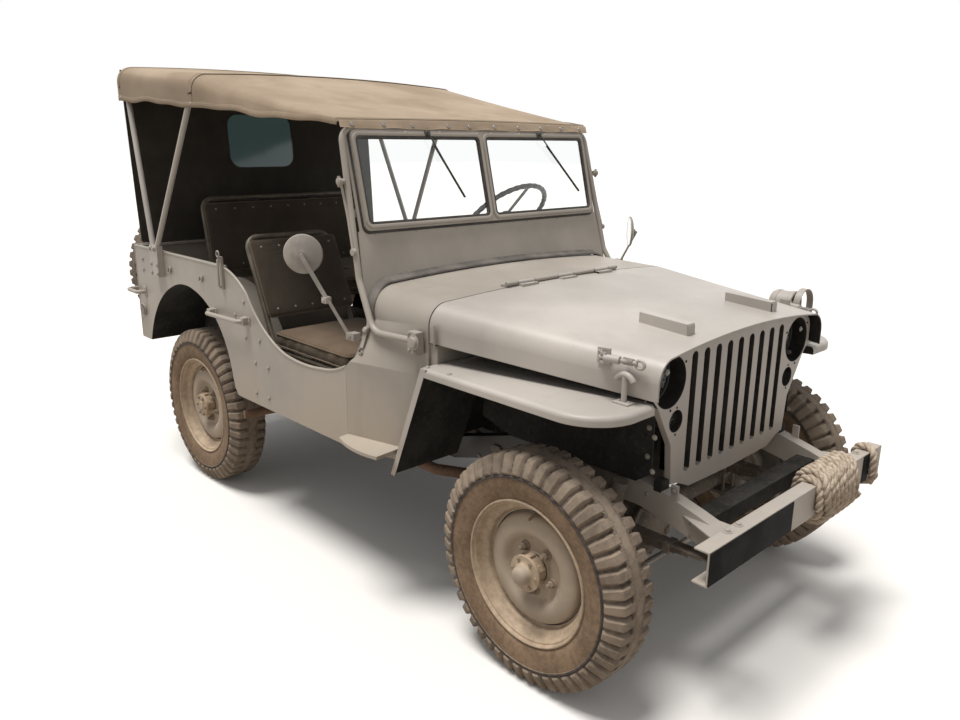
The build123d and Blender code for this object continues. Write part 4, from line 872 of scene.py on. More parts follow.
guard = hoop.made("night_lamp_guard", body_paint, slot="body_paint", crease=32)
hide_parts("lamps")


# Fenders: flat pressed tops with a rolled rim, screwed to the upright aprons beside the
# hood. Their undersides, skirts and inner faces are near black as painted shade.
def two_finishes(node, second, test):
    """Gives those faces of a solid that pass a test a second finish."""
    data = nodes[node].data
    data.materials.append(second)
    spare_slot = len(data.materials) - 1
    for face in data.polygons:
        if test(face.center, face.normal):
            face.material_index = spare_slot


# Near black for faces under and inside the body: painted shade
painted_shade = plain_paint("painted_shade", (0.020, 0.018, 0.016), 0.85, speck_share=0.10, gloss=0.2)
for word in ("right", "left"):
    two_finishes("fender_" + word, painted_shade, lambda c, n: n.z < -0.35 or n.x < -0.75
                 or (abs(c.y) < 0.406 and c.z < 0.864) or (abs(n.y) > 0.5 and n.y * c.y < 0))
slot_shade = plain_paint("slot_shade", (0.040, 0.036, 0.032), 0.7, speck_share=0.10, gloss=0.2)
two_finishes("grille", slot_shade,
             lambda c, n: n.x < 0.5 and (abs(c.y) < 0.278 and 0.62 < c.z < 0.972 or abs(c.y) < 0.372
                                         and 0.75 < c.z < 0.822 or abs(c.y) < 0.452
                                         and 0.826 < c.z < 0.988))
# The frame's front cross member is near black as painted shade.
two_finishes("chassis_frame", painted_shade, lambda c, n: abs(c.y) < 0.32 and c.x > car(200, 0, 0).x)
skirt_y = 405.3
fender_top_z = 868.3
fender_bolts = Shape()
skirt_bolts = Shape()
for side in (1, -1):
    for x, z in ((196, 842), (120, 845), (20, 845), (-90, 845), (-200, 845), (-310, 845), (-410, 845),
                 (190, 746), (194, 666), (60, 640), (-250, 640)):
        bolt_head(skirt_bolts, car(x, side * skirt_y, z), (0, side, 0), 11, 4.5)
    for x in (-430, -330):
        bolt_head(fender_bolts, car(x, side * 680, fender_top_z), (0, 0, 1), 11, 4.5)
    # A dark block closes the gap below the apron's front corner, as painted shade
    skirt_bolts.block(car(214, side * 352, 594), (0.028, 0.040, 0.034), 0.003)
fender_bolts.made("fender_bolts", body_paint, slot="body_paint")
# The skirt's bolts and the block wear the near-black painted shade.
skirt_bolts.made("skirt_bolts", painted_shade, slot="dark_paint")


# Hood: a thin pressed lid with rounded shoulders. A spring catch on each side hooks over
# a post on the fender, and two padded channels near its front carry the folded windshield.
def flat_bar(shape, points, across, width, thick):
    """Bends a flat bar along points in millimetres; across is its width's direction."""
    wide = Vector(across).normalized()
    rows = []
    for k, p in enumerate(points):
        out = direction(points, k).cross(wide).normalized()
        rows.append([car(*(Vector(p) + wide * width / 2 * dw + out * thick / 2 * dn))
                     for dw, dn in ((-1, -1), (1, -1), (1, 1), (-1, 1))])
    return shape.rings(rows, caps=True)


def hood_half(x):
    """The hood's half width at its upright sides."""
    return 638 - 158 * (x + 469) / 735


catches = Shape()
posts = Shape()
for side in (1, -1):
    root = hood_half(108) + 1
    tip = hood_half(220) + 3
    foot = [(92, side * (hood_half(92) + 1.6), 985), (130, side * (hood_half(130) + 1.6), 985)]
    flat_bar(catches, foot, (0, 0, 1), 44, 3.5)
    for x, z in ((98, 996), (98, 974), (124, 985)):
        rivet_head(catches, car(x, side * (hood_half(x) + 3.2), z), (0, side, 0), 9, 3)
    for z in (996, 972):
        flat_bar(catches, [(104, side * (root + 2), z), (112, side * (root + 17), z),
                           (130, side * (root + 17), z)],
                 (0, 0, 1), 8, 4)
    catches.rod([car(106, side * (root + 15), 984), car(212, side * (tip + 12), 981)], 0.0058, 14)
    catches.rod([car(122, side * (root + 15), 984), car(166, side * (root + 4), 983)], 0.0110, 18)
    for k in range(6):
        x = 170 + k * 5.4
        catches.turned(facing(car(x, side * (tip + 15.5), 982), (1, 0, 0)),
                       [(0.0058, 0), (0.0098, 0.0008), (0.0098, 0.0032), (0.0058, 0.0040)], 16)
    eye_ring = [car(220 + 14 * math.cos(a), side * (tip + 11), 979 + 11 * math.sin(a))
                for a in (2 * math.pi * k / 20 for k in range(20))]
    catches.rings(tube_rings(eye_ring, 0.0046, 10), along=True)
    post_y = side * (tip + 24)
    posts.block(car(184, post_y, fender_top_z + 2), (0.052, 0.034, 0.0055), 0.001)
    posts.rod([car(184, post_y, fender_top_z), car(184, post_y, 944)], 0.0078, 18)
    anchor = [car(184 + 30 * math.sin(math.radians(a)), post_y, 918 + 30 * math.cos(math.radians(a)))
              for a in range(-64, 65, 8)]
    posts.rings(tube_rings(anchor, 0.0085, 14), caps=True)
    for dx in (-15, 15):
        bolt_head(posts, car(184 + dx, post_y, fender_top_z + 4), (0, 0, 1), 9, 4, washer=False)
catches.made("hood_catches", body_paint, "hood", "body_paint", 30)
posts.made("hood_catch_posts", body_paint, slot="body_paint", crease=30)
# The hood's underside and inner faces are near black as painted shade.
two_finishes("hood", painted_shade, lambda c, n: n.z < -0.4 or (abs(n.y) > 0.5 and n.y * c.y < 0))

pad_channels = Shape()
for side in (1, -1):
    y = side * 243
    top = 1045
    rows = []
    for x, rise in ((39, 13), (203, 2)):
        line = [(y - 17.5, 1012), (y - 17.5, top + rise), (y + 17.5, top + rise), (y + 17.5, 1012)]
        rows.append([car(x, p, q) for p, q in line])
    pad_channels.rings(rows, caps=True)
pad_channels.made("hood_pad_channels", body_paint, "hood", "body_paint", 30)

edge_beads = Shape()
for y0, y1 in ((-245, -165), (-40, 40), (165, 245)):
    for y in (y0 + 14, y1 - 14):
        rivet_head(edge_beads, car(-452, y, 1073.6), (0, 0, 1), 8, 2.6)
edge_beads.made("hinge_rivets", body_paint, "hood", "body_paint")


# Cowl: the pressed scuttle between hood and windshield, spot-welded to the tub. On each
# flank sit the windshield's pivot plate, with its round nut, and the clamp that holds it.
def cowl_side(x, z):
    """Half width of the cowl's flank."""
    t = (x + 807) / 333
    rear = 722 if z < 820 else 722 - 82 * (z - 820) / 137
    return rear + (638 - rear) * t


cowl_hardware = Shape()
for side in (1, -1):
    pivot = car(-497, side * 676.3, 934)
    cowl_hardware.turned(facing(pivot, (0, side, 0)),
                         [(0, 0), (0.0235, 0), (0.0235, 0.003), (0.018, 0.0045), (0.018, 0.011),
                          (0.0155, 0.0135), (0.006, 0.0145), (0, 0.0145)], 40)
    for x, z in ((-523, 904), (-495, 903), (-523, 958), (-495, 957)):
        bolt_head(cowl_hardware, car(x, side * 676.2, z), (0, side, 0), 9, 4)
    plate_y = cowl_side(-424, 950) + 9
    flat_bar(cowl_hardware, [(-448, side * (cowl_side(-460, 950) + 2), 950),
                             (-436, side * plate_y, 950)],
             (0, 0, 1), 84, 3)
    for z in (915, 985):
        y = cowl_side(-560, z)
        rivet_head(cowl_hardware, car(-560, side * (y + 0.4), z), (0, side, 0.35), 9, 3)
    clamp = [(-758, side * (cowl_side(-758, z) + off), z)
             for z, off in ((952, 3), (935, 12), (915, 13), (895, 8), (868, 5))]
    flat_bar(cowl_hardware, clamp, (1, 0, 0), 18, 4)
    cowl_hardware.turned(facing(car(-758, side * (cowl_side(-758, 925) + 12), 925), (0, side, 0.4)),
                         metres([(0, 0), (11, 0), (11, 9), (7, 12), (0, 12)]), 20)
    hook = [car(-758 + 9 * math.cos(a), side * (cowl_side(-758, 862) + 8), 858 + 9 * math.sin(a))
            for a in (math.pi * k / 6 + math.pi / 2 for k in range(10))]
    cowl_hardware.rings(tube_rings(hook, 0.0034, 8), caps=True)
cowl_hardware.made("cowl_hardware", shaded_tub_paint, slot="body_paint", crease=34)
# The cowl's low downward faces are near black as painted shade.
two_finishes("cowl", painted_shade, lambda c, n: c.z < 0.50 and n.z < -0.3)


# Windshield: a bent outer tube carries a sheet panel below and a channel frame with two
# panes above, bedded in rubber. It leans on an arched rubber strip along the cowl.
shield_lean = 0.2485
shield_ahead = Vector((1, 0, shield_lean)).normalized()


def shield_x(z):
    """Where the windshield's plane stands at a height."""
    return -847 - (z - 1238) * shield_lean


def shield(y, z, ahead=0.0):
    """A point on the windshield's plane, moved forward square to it."""
    return car(shield_x(z), y, z) + shield_ahead * ahead / 1000


def shield_ring(y0, y1, z0, z1, radius, ahead, steps=6):
    """Corners of a rounded rectangle on the windshield's plane."""
    ring = []
    for cy, cz, start in ((y1 - radius, z1 - radius, 0), (y0 + radius, z1 - radius, 90),
                          (y0 + radius, z0 + radius, 180), (y1 - radius, z0 + radius, 270)):
        for k in range(steps + 1):
            a = math.radians(start + 90 * k / steps)
            ring.append(shield(cy + radius * math.cos(a), cz + radius * math.sin(a), ahead))
    return ring


seal_rubber = plain_paint("seal_rubber", (0.040, 0.036, 0.033), 0.75, speck_share=0.15)
pane_low_z = 1262
pane_high_z = 1543
rubber = Shape()
for side in (1, -1):
    y0, y1 = sorted((side * 19.5, side * 582.5))
    rows = [shield_ring(y0 - grow, y1 + grow, pane_low_z - grow, pane_high_z + grow, 14 + grow,
                        ahead) for grow, ahead in ((5, 13.6), (4, 16.4), (0, 17.2), (-4.5, 15.4),
                                                   (-5.5, 10.2), (-5.5, 3.8), (0, 1.0), (5, 1.0))]
    rubber.rings(rows)
rubber.made("pane_rubber", seal_rubber, slot="dark_paint", crease=50)

frame_edge = Shape()
beads = [(-1, 14), (-1, 17.6), (1.5, 19.2), (7, 19.4), (11.5, 18.6), (12.5, 14)]
for side in (1, -1):
    y0, y1 = sorted((side * 14.5, side * 587.5))
    rows = [shield_ring(y0 - out, y1 + out, pane_low_z - 5 - out, pane_high_z + 5 + out, 18 + out,
                        ahead)
            for out, ahead in beads]
    frame_edge.rings(rows)
for y in (-366, -209, -20, 51, 209, 366):
    bolt_head(frame_edge, shield(y, 1558, 14), shield_ahead, 10, 4.5)
for y in (-484, -442, 443, 492):
    rivet_head(frame_edge, shield(y, 1092, 3), shield_ahead, 9, 3)
for y in (-560, -380, -190, 0, 190, 380, 560):
    rivet_head(frame_edge, shield(y, 1226, 3), shield_ahead, 9, 3)
frame_edge.made("pane_frame_bead", shaded_tub_paint, slot="body_paint", crease=36)
dress(clear("pane_glass", (0.96, 0.98, 0.97), 0.0), "windshield_glass")


def cowl_crest(share):
    """Height of the cowl's top edge along its arch, from the middle out to the side."""
    y = 641 * share
    if y <= 550:
        return y, 1092 - 17 * (y / 550) ** 2
    t = (y - 550) / 91
    return y, 1075 - 75 * t ** 1.9


def on_cowl(y, z, ahead):
    """A point ahead of the windshield's plane, level with the cowl's slope."""
    return car(shield_x(z) + ahead, y, z - 0.056 * ahead)


seal_line = [cowl_crest(k / 36) for k in range(37)] + [(641.3, 988), (641.5, 976), (641.5, 964)]
arch = [(-y, z) for y, z in reversed(seal_line[1:])] + seal_line
seal = Shape()
rows = []
for k, (y, z) in enumerate(arch):
    along = direction(arch, k)
    out = Vector((-along.y, along.x))
    rows.append([on_cowl(y + out.x * off, z + out.y * off, ahead)
                 for off, ahead in ((12, 4), (10.5, 8), (6.5, 14), (5, 33), (2, 36), (-3, 35),
                                    (-3, -4), (8, -4))])
seal.rings(rows, caps=True)
gasket = Shape()
gasket.rings([shield_ring(-602 - out, 602 + out, 1237 - out, 1569 + out, 20 + out, ahead)
              for out, ahead in ((-1, 1), (-1, 6), (7, 6), (8, 1))])
gasket.made("pane_gasket", seal_rubber, slot="dark_paint", crease=50)
seal_grey = plain_paint("seal_grey", (0.125, 0.112, 0.100), 0.75, speck_share=0.25)
seal.made("windshield_seal", seal_grey, slot="dark_paint", crease=60)


# Wipers: one for each pane, hung on a pivot in the top member and swung from inside. The
# blades rest near the glass, and side rods with wing knobs lock the frame upright.
wiper_black = plain_paint("wiper_black", (0.030, 0.028, 0.026), 0.5, speck_share=0.1)
wipers = Shape()
for pivot_y, tip_y in ((-274, -135), (317, 525)):
    hub = shield(pivot_y, 1556, 15)
    wipers.turned(facing(hub, shield_ahead),
                  [(0.011, 0), (0.011, 0.007), (0.007, 0.010), (0.007, 0.018), (0, 0.019)], 20)
    start = shield(pivot_y, 1556, 28)
    end = shield((pivot_y + tip_y) / 2, 1440, 22)
    wipers.rod([start, end], 0.0028, 8)
    a = Vector((0, pivot_y + (tip_y - pivot_y) * 0.22, 1515))
    b = Vector((0, tip_y, 1330))
    line = [shield(a.y + (b.y - a.y) * k / 8, a.z + (b.z - a.z) * k / 8, 15.5) for k in range(9)]
    along = (line[-1] - line[0]).normalized()
    flat = along.cross(shield_ahead).normalized()
    rows = [[p + flat * s * 0.003 + shield_ahead * h * 0.0045
             for s, h in ((-0.4, -1), (0.4, -1), (1, 0.4), (0.7, 1), (-0.7, 1), (-1, 0.4))] for p in line]
    wipers.rings(rows, caps=True)
wipers.made("wipers", wiper_black, slot="dark_paint", crease=40)

locks = Shape()
for side in (1, -1):
    knob = shield(side * 650, 1403, 4)
    locks.turned(facing(knob, (0, side, 0)),
                 [(0, 0), (0.010, 0), (0.010, 0.004), (0.006, 0.006), (0.006, 0.013), (0.013, 0.015),
                  (0.013, 0.024), (0.009, 0.027), (0, 0.027)], 20)
    locks.block(knob + Vector((0, side * 0.021, 0)), (0.006, 0.010, 0.036), 0.002)
    locks.rod([knob + Vector((-0.012, side * 0.004, -0.006)), shield(side * 655, 1290, -2),
               car(-828, side * 662, 1177)], 0.0048)
    locks.turned(facing(car(-828, side * 655, 1177), (0, side, 0)),
                 [(0, 0), (0.012, 0), (0.012, 0.012), (0, 0.013)], 16)
    for z in (1130, 1300, 1500):
        x = shield_x(z) - 4
        y = 655 - 29 * (z - 1085) / 487
        flat_bar(locks, [(x, side * (y - 14), z), (x, side * (y - 36), z)],
                 (0, 0, 1), 26, 3)
locks.made("windshield_locks", shaded_tub_paint, slot="body_paint")


# Mirrors: round heads with a pressed conical back on a two-part flat arm, clamped to the
# body ahead of each entry. Only the glass side is bright.
mirror_glass = steel("mirror_glass", (0.80, 0.82, 0.83), 0.03, 1.0)
mirror_paint = plain_paint("mirror_paint", (0.335, 0.305, 0.275), 0.5, speck_share=0.2)
for side, word, head, middle in ((-1, "right", (-948, -780, 1169), (-868, -742, 1022)),
                                 (1, "left", (-759, 780, 1152), (-790, 742, 1018))):
    heading = Vector((1, side, 0)).normalized()
    disc = facing(car(*head), heading)
    shell = Shape()
    shell.turned(disc, metres([(62, -7), (66, -6.5), (66.5, -3), (64, 1.5), (56, 5), (38, 9.5),
                               (20, 13), (14, 14.5), (12, 15), (12, 20), (0, 20)]), 64)
    bolt_head(shell, car(*head) + heading * 0.019, heading, 12, 6, washer=False)
    shell.made("mirror_shell_" + word, mirror_paint, slot="dark_paint", crease=34)
    glass = Shape().turned(disc, metres([(0, -5.6), (40, -5.8), (61, -6.2), (62, -7)]), 64)
    glass.made("mirror_face_" + word, mirror_glass, slot="glass_clear")
    arm = Shape()
    foot = (-812, side * 700, 901)
    lower = car(*foot)
    joint = car(*middle)
    across = heading.cross(Vector((0, 0, 1)))
    flat_bar(arm, [foot, tuple(middle[k] + (foot[k] - middle[k]) * -0.06 for k in range(3))], across,
             11, 9)
    upper = Vector(middle) + heading * 9
    top_end = Vector(head) + heading * 27
    flat_bar(arm, [tuple(upper + (upper - top_end) * 0.07), tuple(upper), tuple(top_end),
                   tuple(top_end * 1.012 - upper * 0.012)],
             across, 15, 7)
    arm.slab(facing(joint + Vector((0, side * 0.0055, 0)), (0, side, 0)), (0.026, 0.022, 0.024), 0.002)
    bolt_head(arm, joint + Vector((0, side * 0.018, 0)), (0, side, 0), 10, 5)
    arm.block(car(-792, side * 694, 903), (0.034, 0.030, 0.026), 0.003)
    arm.block(car(-792, side * 681, 894), (0.032, 0.022, 0.010), 0.002)
    arm.turned(facing(lower - Vector((0, 0, 0.010)), (0, 0, 1)),
               metres([(0, 0), (11, 0), (11, 20), (8, 23), (0, 23)]), 20)
    bolt_head(arm, car(-797, side * 709, 903), (0, side, 0), 10, 5)
    piece = arm.made("mirror_arm_" + word, mirror_paint, slot="dark_paint", crease=34)
    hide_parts("mirrors")


# Tub: pressed sides with a rolled top edge and low entries, and a flat rear panel. Straps,
# grab handles and the top's pivot brackets are bolted on with round-headed screws.
def arc_points(a, b, c, steps=10):
    """Points along the arc from a over b to c, in the XZ plane."""
    (ax, az), (bx, bz), (cx, cz) = a, b, c
    d = 2 * (ax * (bz - cz) + bx * (cz - az) + cx * (az - bz))
    ux = ((ax * ax + az * az) * (bz - cz) + (bx * bx + bz * bz) * (cz - az)
          + (cx * cx + cz * cz) * (az - bz)) / d
    uz = ((ax * ax + az * az) * (cx - bx) + (bx * bx + bz * bz) * (ax - cx)
          + (cx * cx + cz * cz) * (bx - ax)) / d
    r = math.hypot(ax - ux, az - uz)
    first, mid, last = (math.atan2(z - uz, x - ux) for x, z in (a, b, c))
    while mid < first:
        mid += 2 * math.pi
    while last < first:
        last += 2 * math.pi
    if mid > last:
        mid -= 2 * math.pi
        last -= 2 * math.pi
    return [(ux + r * math.cos(first + (last - first) * k / steps),
             uz + r * math.sin(first + (last - first) * k / steps))
            for k in range(steps + 1)]


entry_edge = [(-2548, 1038), (-2300, 1038), (-2100, 1038), (-1900, 1038)]
entry_edge += arc_points((-1665, 1038), (-1560, 1008), (-1470, 948))
entry_edge += arc_points((-1470, 948), (-1330, 815), (-1204, 762))[1:]
entry_edge += arc_points((-1204, 762), (-1082, 751), (-960, 759))[1:]
entry_edge += arc_points((-960, 759), (-884, 771), (-812, 799))[1:]
beads = Shape()
for side in (1, -1):
    rows = []
    for k, (x, z) in enumerate(entry_edge):
        ahead = direction(entry_edge, k)
        up = Vector((-ahead.y, ahead.x)) * (1 if ahead.x > 0 else -1)
        row = []
        for j in range(12):
            t = 2 * math.pi * j / 12
            y = 719.5 + 5.5 * math.cos(t)
            rise = 5.5 * math.sin(t) - 0.5
            row.append(car(x + up.x * rise, side * y, z + up.y * rise))
        rows.append(row)
    beads.rings(rows, caps=True)
    beads.rod([car(-2552, side * 719.5, 1038), car(-2552, side * 719.5, 596)], 0.0045)
beads.rod([car(-2552, -716, 1037.5), car(-2552, 716, 1037.5)], 0.0055)
beads.made("tub_beads", shaded_tub_paint, slot="body_paint", crease=50)

tub_hardware = Shape()
side_bolts = [(-1496, 918), (-1573, 854), (-1498, 774), (-1389, 780), (-1431, 683), (-1333, 683),
              (-1437, 559), (-1340, 559), (-2470, 930), (-2470, 980)]
skin_y = 722.2
for side in (1, -1):
    for x, z in side_bolts:
        bolt_head(tub_hardware, car(x, side * skin_y, z), (0, side, 0), 13, 5)
    for x, z in ((-2234, 980), (-2234, 940), (-2298, 980), (-2298, 940)):
        bolt_head(tub_hardware, car(x, side * 750.2, z), (0, side, 0), 13, 6)
    for x in (-2286, -2250):
        tub_hardware.turned(facing(car(x, side * 750, 1052), (0, side, 0)),
                            metres([(0, 0), (13, 0), (13, 4), (9, 6), (9, 11), (0, 12)]), 24)
    for x, z in ((-1756, 838), (-1478, 846)):
        tub_hardware.block(car(x, side * 723.5, z), (0.052, 0.004, 0.034), 0.0012)
        tub_hardware.block(car(x, side * 736, z), (0.030, 0.026, 0.030), 0.003)
        for dx in (-17, 17):
            rivet_head(tub_hardware, car(x + dx, side * 725.4, z), (0, side, 0), 9, 3)
    tub_hardware.block(car(-2471, side * 723.5, 824), (0.034, 0.004, 0.052), 0.0012)
    for dz in (-17, 17):
        rivet_head(tub_hardware, car(-2471, side * 725.4, 824 + dz), (0, side, 0), 9, 3)
        rivet_head(tub_hardware, car(-2560.4, side * 630, 824 + dz), (-1, 0, 0), 9, 3)
    tub_hardware.block(car(-2558.5, side * 630, 824), (0.004, 0.034, 0.052), 0.0012)
    tub_hardware.rod([car(-1656, side * y, z)
                      for y, z in ((732, 952), (741, 962), (741, 1066), (732, 1076))], 0.0042)
    for z in (960, 1066):
        rivet_head(tub_hardware, car(-1656, side * 732.2, z - 4 if z < 1000 else z - 8),
                   (0, side, 0), 9, 3)
    ring = [car(-1656 + 11 * math.cos(a), side * 738, 1091 + 12 * math.sin(a))
            for a in circle(24)]
    tub_hardware.rings(tube_rings(ring, 0.003, 8), along=True)
    for x, z in ((-2160, 968), (-1850, 968)):
        tub_hardware.block(car(x, side * 724, z), (0.030, 0.004, 0.022), 0.001)
        tub_hardware.rod([car(x - 12, side * 727, z + 5), car(x - 12, side * 731, z - 16),
                          car(x + 12, side * 731, z - 16), car(x + 12, side * 727, z + 5)], 0.0025, 8)
    for z in (640, 700, 760):
        rivet_head(tub_hardware, car(-2540, side * skin_y, z + 40), (0, side, 0), 10, 3)
tub_hardware.made("tub_hardware", shaded_tub_paint, slot="body_paint", crease=34)
# The tub sides' downward and inner faces and the floor's underside and low edges are near black as painted
# shade.
for word in ("right", "left"):
    two_finishes("body_side_" + word, painted_shade,
                 lambda c, n: c.z < 0.93 and (n.z < -0.25 or (n.z < 0.2 and abs(c.y) < 0.5)))
two_finishes("floor", painted_shade, lambda c, n: n.z < -0.3 or (c.z < 0.50 and abs(n.z) < 0.5))


# Tail: round lamps on the rear panel's lower corners and a red disc on each side, with
# two short bumpers and the towing hook bolted to the frame's rear member.
red_glass = clear("red_glass", (0.42, 0.018, 0.012), 0.12, 1900.0, 0.0008)
tail_body = Shape()
red = Shape()
for side in (1, -1):
    spot = facing(car(-2556, side * 664, 655), (-1, 0, 0))
    tail_body.turned(spot, metres([(34, 0), (38, 3), (38, 30), (36.5, 36), (32, 38.5), (29, 37),
                                   (28, 32), (0, 30)]), 48)
    red.turned(spot, metres([(28.5, 36), (24, 38), (14, 39.4), (0, 40), (0, 37), (14, 36.4),
                             (28.5, 33)]), 40)
    for a in (90, 270):
        y = side * 664 + 33.5 * math.cos(math.radians(a))
        rivet_head(tail_body, car(-2595, y, 655 + 33.5 * math.sin(math.radians(a))), (-1, 0, 0), 7, 2)
    disc = facing(car(-2509, side * 722.2, 731), (0, side, 0))
    tail_body.turned(disc, metres([(0, 0), (30, 0), (30, 6.5), (27.5, 8.5), (25, 7.5), (24.5, 4),
                                   (0, 3.5)]), 44)
    red.turned(disc, metres([(25, 6.5), (20, 8), (10, 8.8), (0, 9), (0, 6.5), (25, 4.2)]), 40)
tail = tail_body.made("tail_lamp_bodies", shaded_tub_paint, slot="dark_paint", crease=34)
red.made("tail_lamp_glasses", red_glass, slot="lamp_glass")
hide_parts("tail_lamps")
hook_iron = plain_paint("hook_iron", (0.105, 0.088, 0.072), 0.6, speck_share=0.5)
rear_bolts = Shape()
for side in (1, -1):
    for z in (460, 500):
        bolt_head(rear_bolts, car(-2630.2, side * 385, z), (-1, 0, 0), 15, 7)
        bolt_head(rear_bolts, car(-2630.2, side * 325, z), (-1, 0, 0), 15, 7)
for y, z in ((-36, 520), (36, 520), (-36, 566), (36, 566)):
    bolt_head(rear_bolts, car(-2576.2, y, z), (-1, 0, 0), 14, 7)
rear_bolts.turned(facing(car(-2582, 0, 542), (-1, 0, 0)),
                  metres([(24, 0), (24, 7), (20, 10), (18, 10)]), 32)
rear_bolts.block(car(-2668, 0, 579), (0.056, 0.020, 0.012), 0.003)
rear_bolts.rod([car(-2645, -16, 566), car(-2645, 16, 566)], 0.005)
rear_bolts.made("rear_bolts", hook_iron, slot="dark_paint", crease=34)
two_finishes("rear_fittings", hook_iron, lambda c, n: abs(c.y) < 0.06)


# Controls: a steering wheel with a finger-gripped rim and three pairs of steel spokes on
# its column, black knobs on the levers, rubber pedals, and a bare dash with round dials.
wheel_black = plain_paint("wheel_black", (0.030, 0.028, 0.025), 0.38, speck_share=0.12)
hub_spot = car(-1120, 345, 1215)
column_dir = (hub_spot - car(-520, 345, 600)).normalized()
wheel_place = facing(hub_spot, column_dir)
grips = Shape()
rim_rows = []
rim_steps = 180
for k in range(rim_steps):
    a = 2 * math.pi * k / rim_steps
    thick = 0.0108 + 0.0010 * math.cos(36 * a)
    row = []
    for j in range(12):
        t = 2 * math.pi * j / 12
        reach = 0.200 + thick * math.cos(t)
        row.append(wheel_place @ Vector((math.cos(a) * reach, math.sin(a) * reach,
                                         thick * 0.95 * math.sin(t))))
    rim_rows.append(row)
grips.rings(rim_rows, along=True)
grips.turned(wheel_place, metres([(27, -18), (29, -14), (29, 6), (26, 13), (20, 17), (12, 19),
                                  (0, 19.5)]), 40)
rim = grips.made("steering_rim", wheel_black, "steering_wheel", "dark_paint", 50)
spokes = Shape()
for k in range(3):
    for shift in (-0.006, 0.006):
        a = math.radians(120 * k + 90)
        across = Vector((-math.sin(a), math.cos(a), 0)) * shift
        out = Vector((math.cos(a), math.sin(a), 0))
        spokes.rod([wheel_place @ (out * 0.024 + across), wheel_place @ (out * 0.19 + across)],
                   0.0032, 10)
spokes.made("steering_spokes", rim_metal, "steering_wheel", "dark_paint")
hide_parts("steering_wheel")
dress(frame_paint, "driver_controls")
knob_tops = [car(-900, 40, 900), car(-900, -30, 800), car(-900, -80, 790)]
two_finishes("driver_controls", wheel_black,
             lambda c, n: any((c - knob).length < 0.0195 for knob in knob_tops)
             or (0.63 < c.z < 0.71 and c.x > car(-691, 0, 0).x
                                                                                and abs(n.x) > 0.9))
dial_face = plain_paint("dial_face", (0.025, 0.024, 0.022), 0.35, speck_share=0.08)
dials = Shape()
faces = Shape()
for y, z, r in ((60, 985, 42), (150, 1008, 24), (150, 955, 24), (-30, 1008, 24), (-30, 955, 24)):
    spot = facing(car(-810.5, y, z), (-1, 0, 0))
    dials.turned(spot, metres([(r, -3), (r + 4, -1), (r + 4, 4), (r + 1, 6), (r - 1, 4),
                               (r - 1, 1)]), 36)
    faces.turned(spot, metres([(0, 1.2), (r - 1, 1.2)]), 36)
    faces.rod([spot @ Vector((0, 0, 0.0025)),
               spot @ Vector((-0.5 * r / 1000, 0.6 * r / 1000, 0.0025))], 0.0009, 6)
for y in (230, 265, -95, -130):
    dials.turned(facing(car(-811, y, 960), (-1, 0, 0)),
                 metres([(10, 0), (10, 3), (5, 4), (5, 14), (9, 15), (9, 20), (0, 21)]), 18)
dials.made("dash_dials", rim_metal, slot="dark_paint")
faces.made("dash_dial_faces", dial_face, slot="dark_paint")


# Seats: brown cotton-duck pads on tube frames. Each cushion has a softer top panel over a
# creased boxing with corded seams, and the thin backs are laced and studded to their hoops.
def duck(name, colour, rough=0.88, weave=0.0007, fade=0.18, grime=0.3):
    """Woven cotton: two crossing rows of threads, faded where it is rubbed."""
    mix = Recipe(name)
    parts = [mix.part(k) for k in range(3)]
    warp = mix.sine((parts[0] + parts[2] * 0.6) * 3200.0)
    weft = mix.sine((parts[1] + parts[2] * 0.8) * 3200.0)
    cloud = mix.noise(4.5, 5, 0.6)
    fold = mix.noise(16, 4, 0.6)
    fibre = mix.noise(600, 3, 0.6)
    light = tuple(min(1, c * (1 + fade) + 0.01) for c in colour)
    dark = tuple(c * (1 - fade) for c in colour)
    base = mix.blend(mix.step(cloud, 0.32, 0.7), dark, light)
    base = mix.blend(mix.step(fold, 0.55, 0.8) * grime, base, tuple(c * 0.6 for c in colour))
    base = mix.blend((warp * weft + 1) * 0.09, base, tuple(min(1, c * 1.6 + 0.02) for c in colour))
    height = warp * weft * 0.35 + fibre * 0.6
    return mix.shader(Base_Color=base, Roughness=(fibre - 0.5) * 0.1 + rough,
                      Normal=mix.bump(height, weave),
                      Sheen_Weight=0.1, Sheen_Roughness=0.5, Specular_IOR_Level=0.2)


brown_duck = duck("brown_duck", (0.128, 0.088, 0.056))
# The cushions' sides and the backs wear darker copies of the brown duck, as painted shade.
side_duck_shaded = duck("side_duck_shaded", (0.110, 0.080, 0.050))
cord_duck = duck("cord_duck", (0.150, 0.112, 0.075), fade=0.1)
back_duck_shaded = duck("back_duck_shaded", (0.066, 0.050, 0.036))
dress(plain_paint("seat_tube_paint", (0.120, 0.098, 0.072), 0.5, speck_share=0.3), "seat_frames")
piping_duck = duck("piping_duck", (0.30, 0.26, 0.185), fade=0.1)
pad_voxel = 0.009
pad_frames = 20


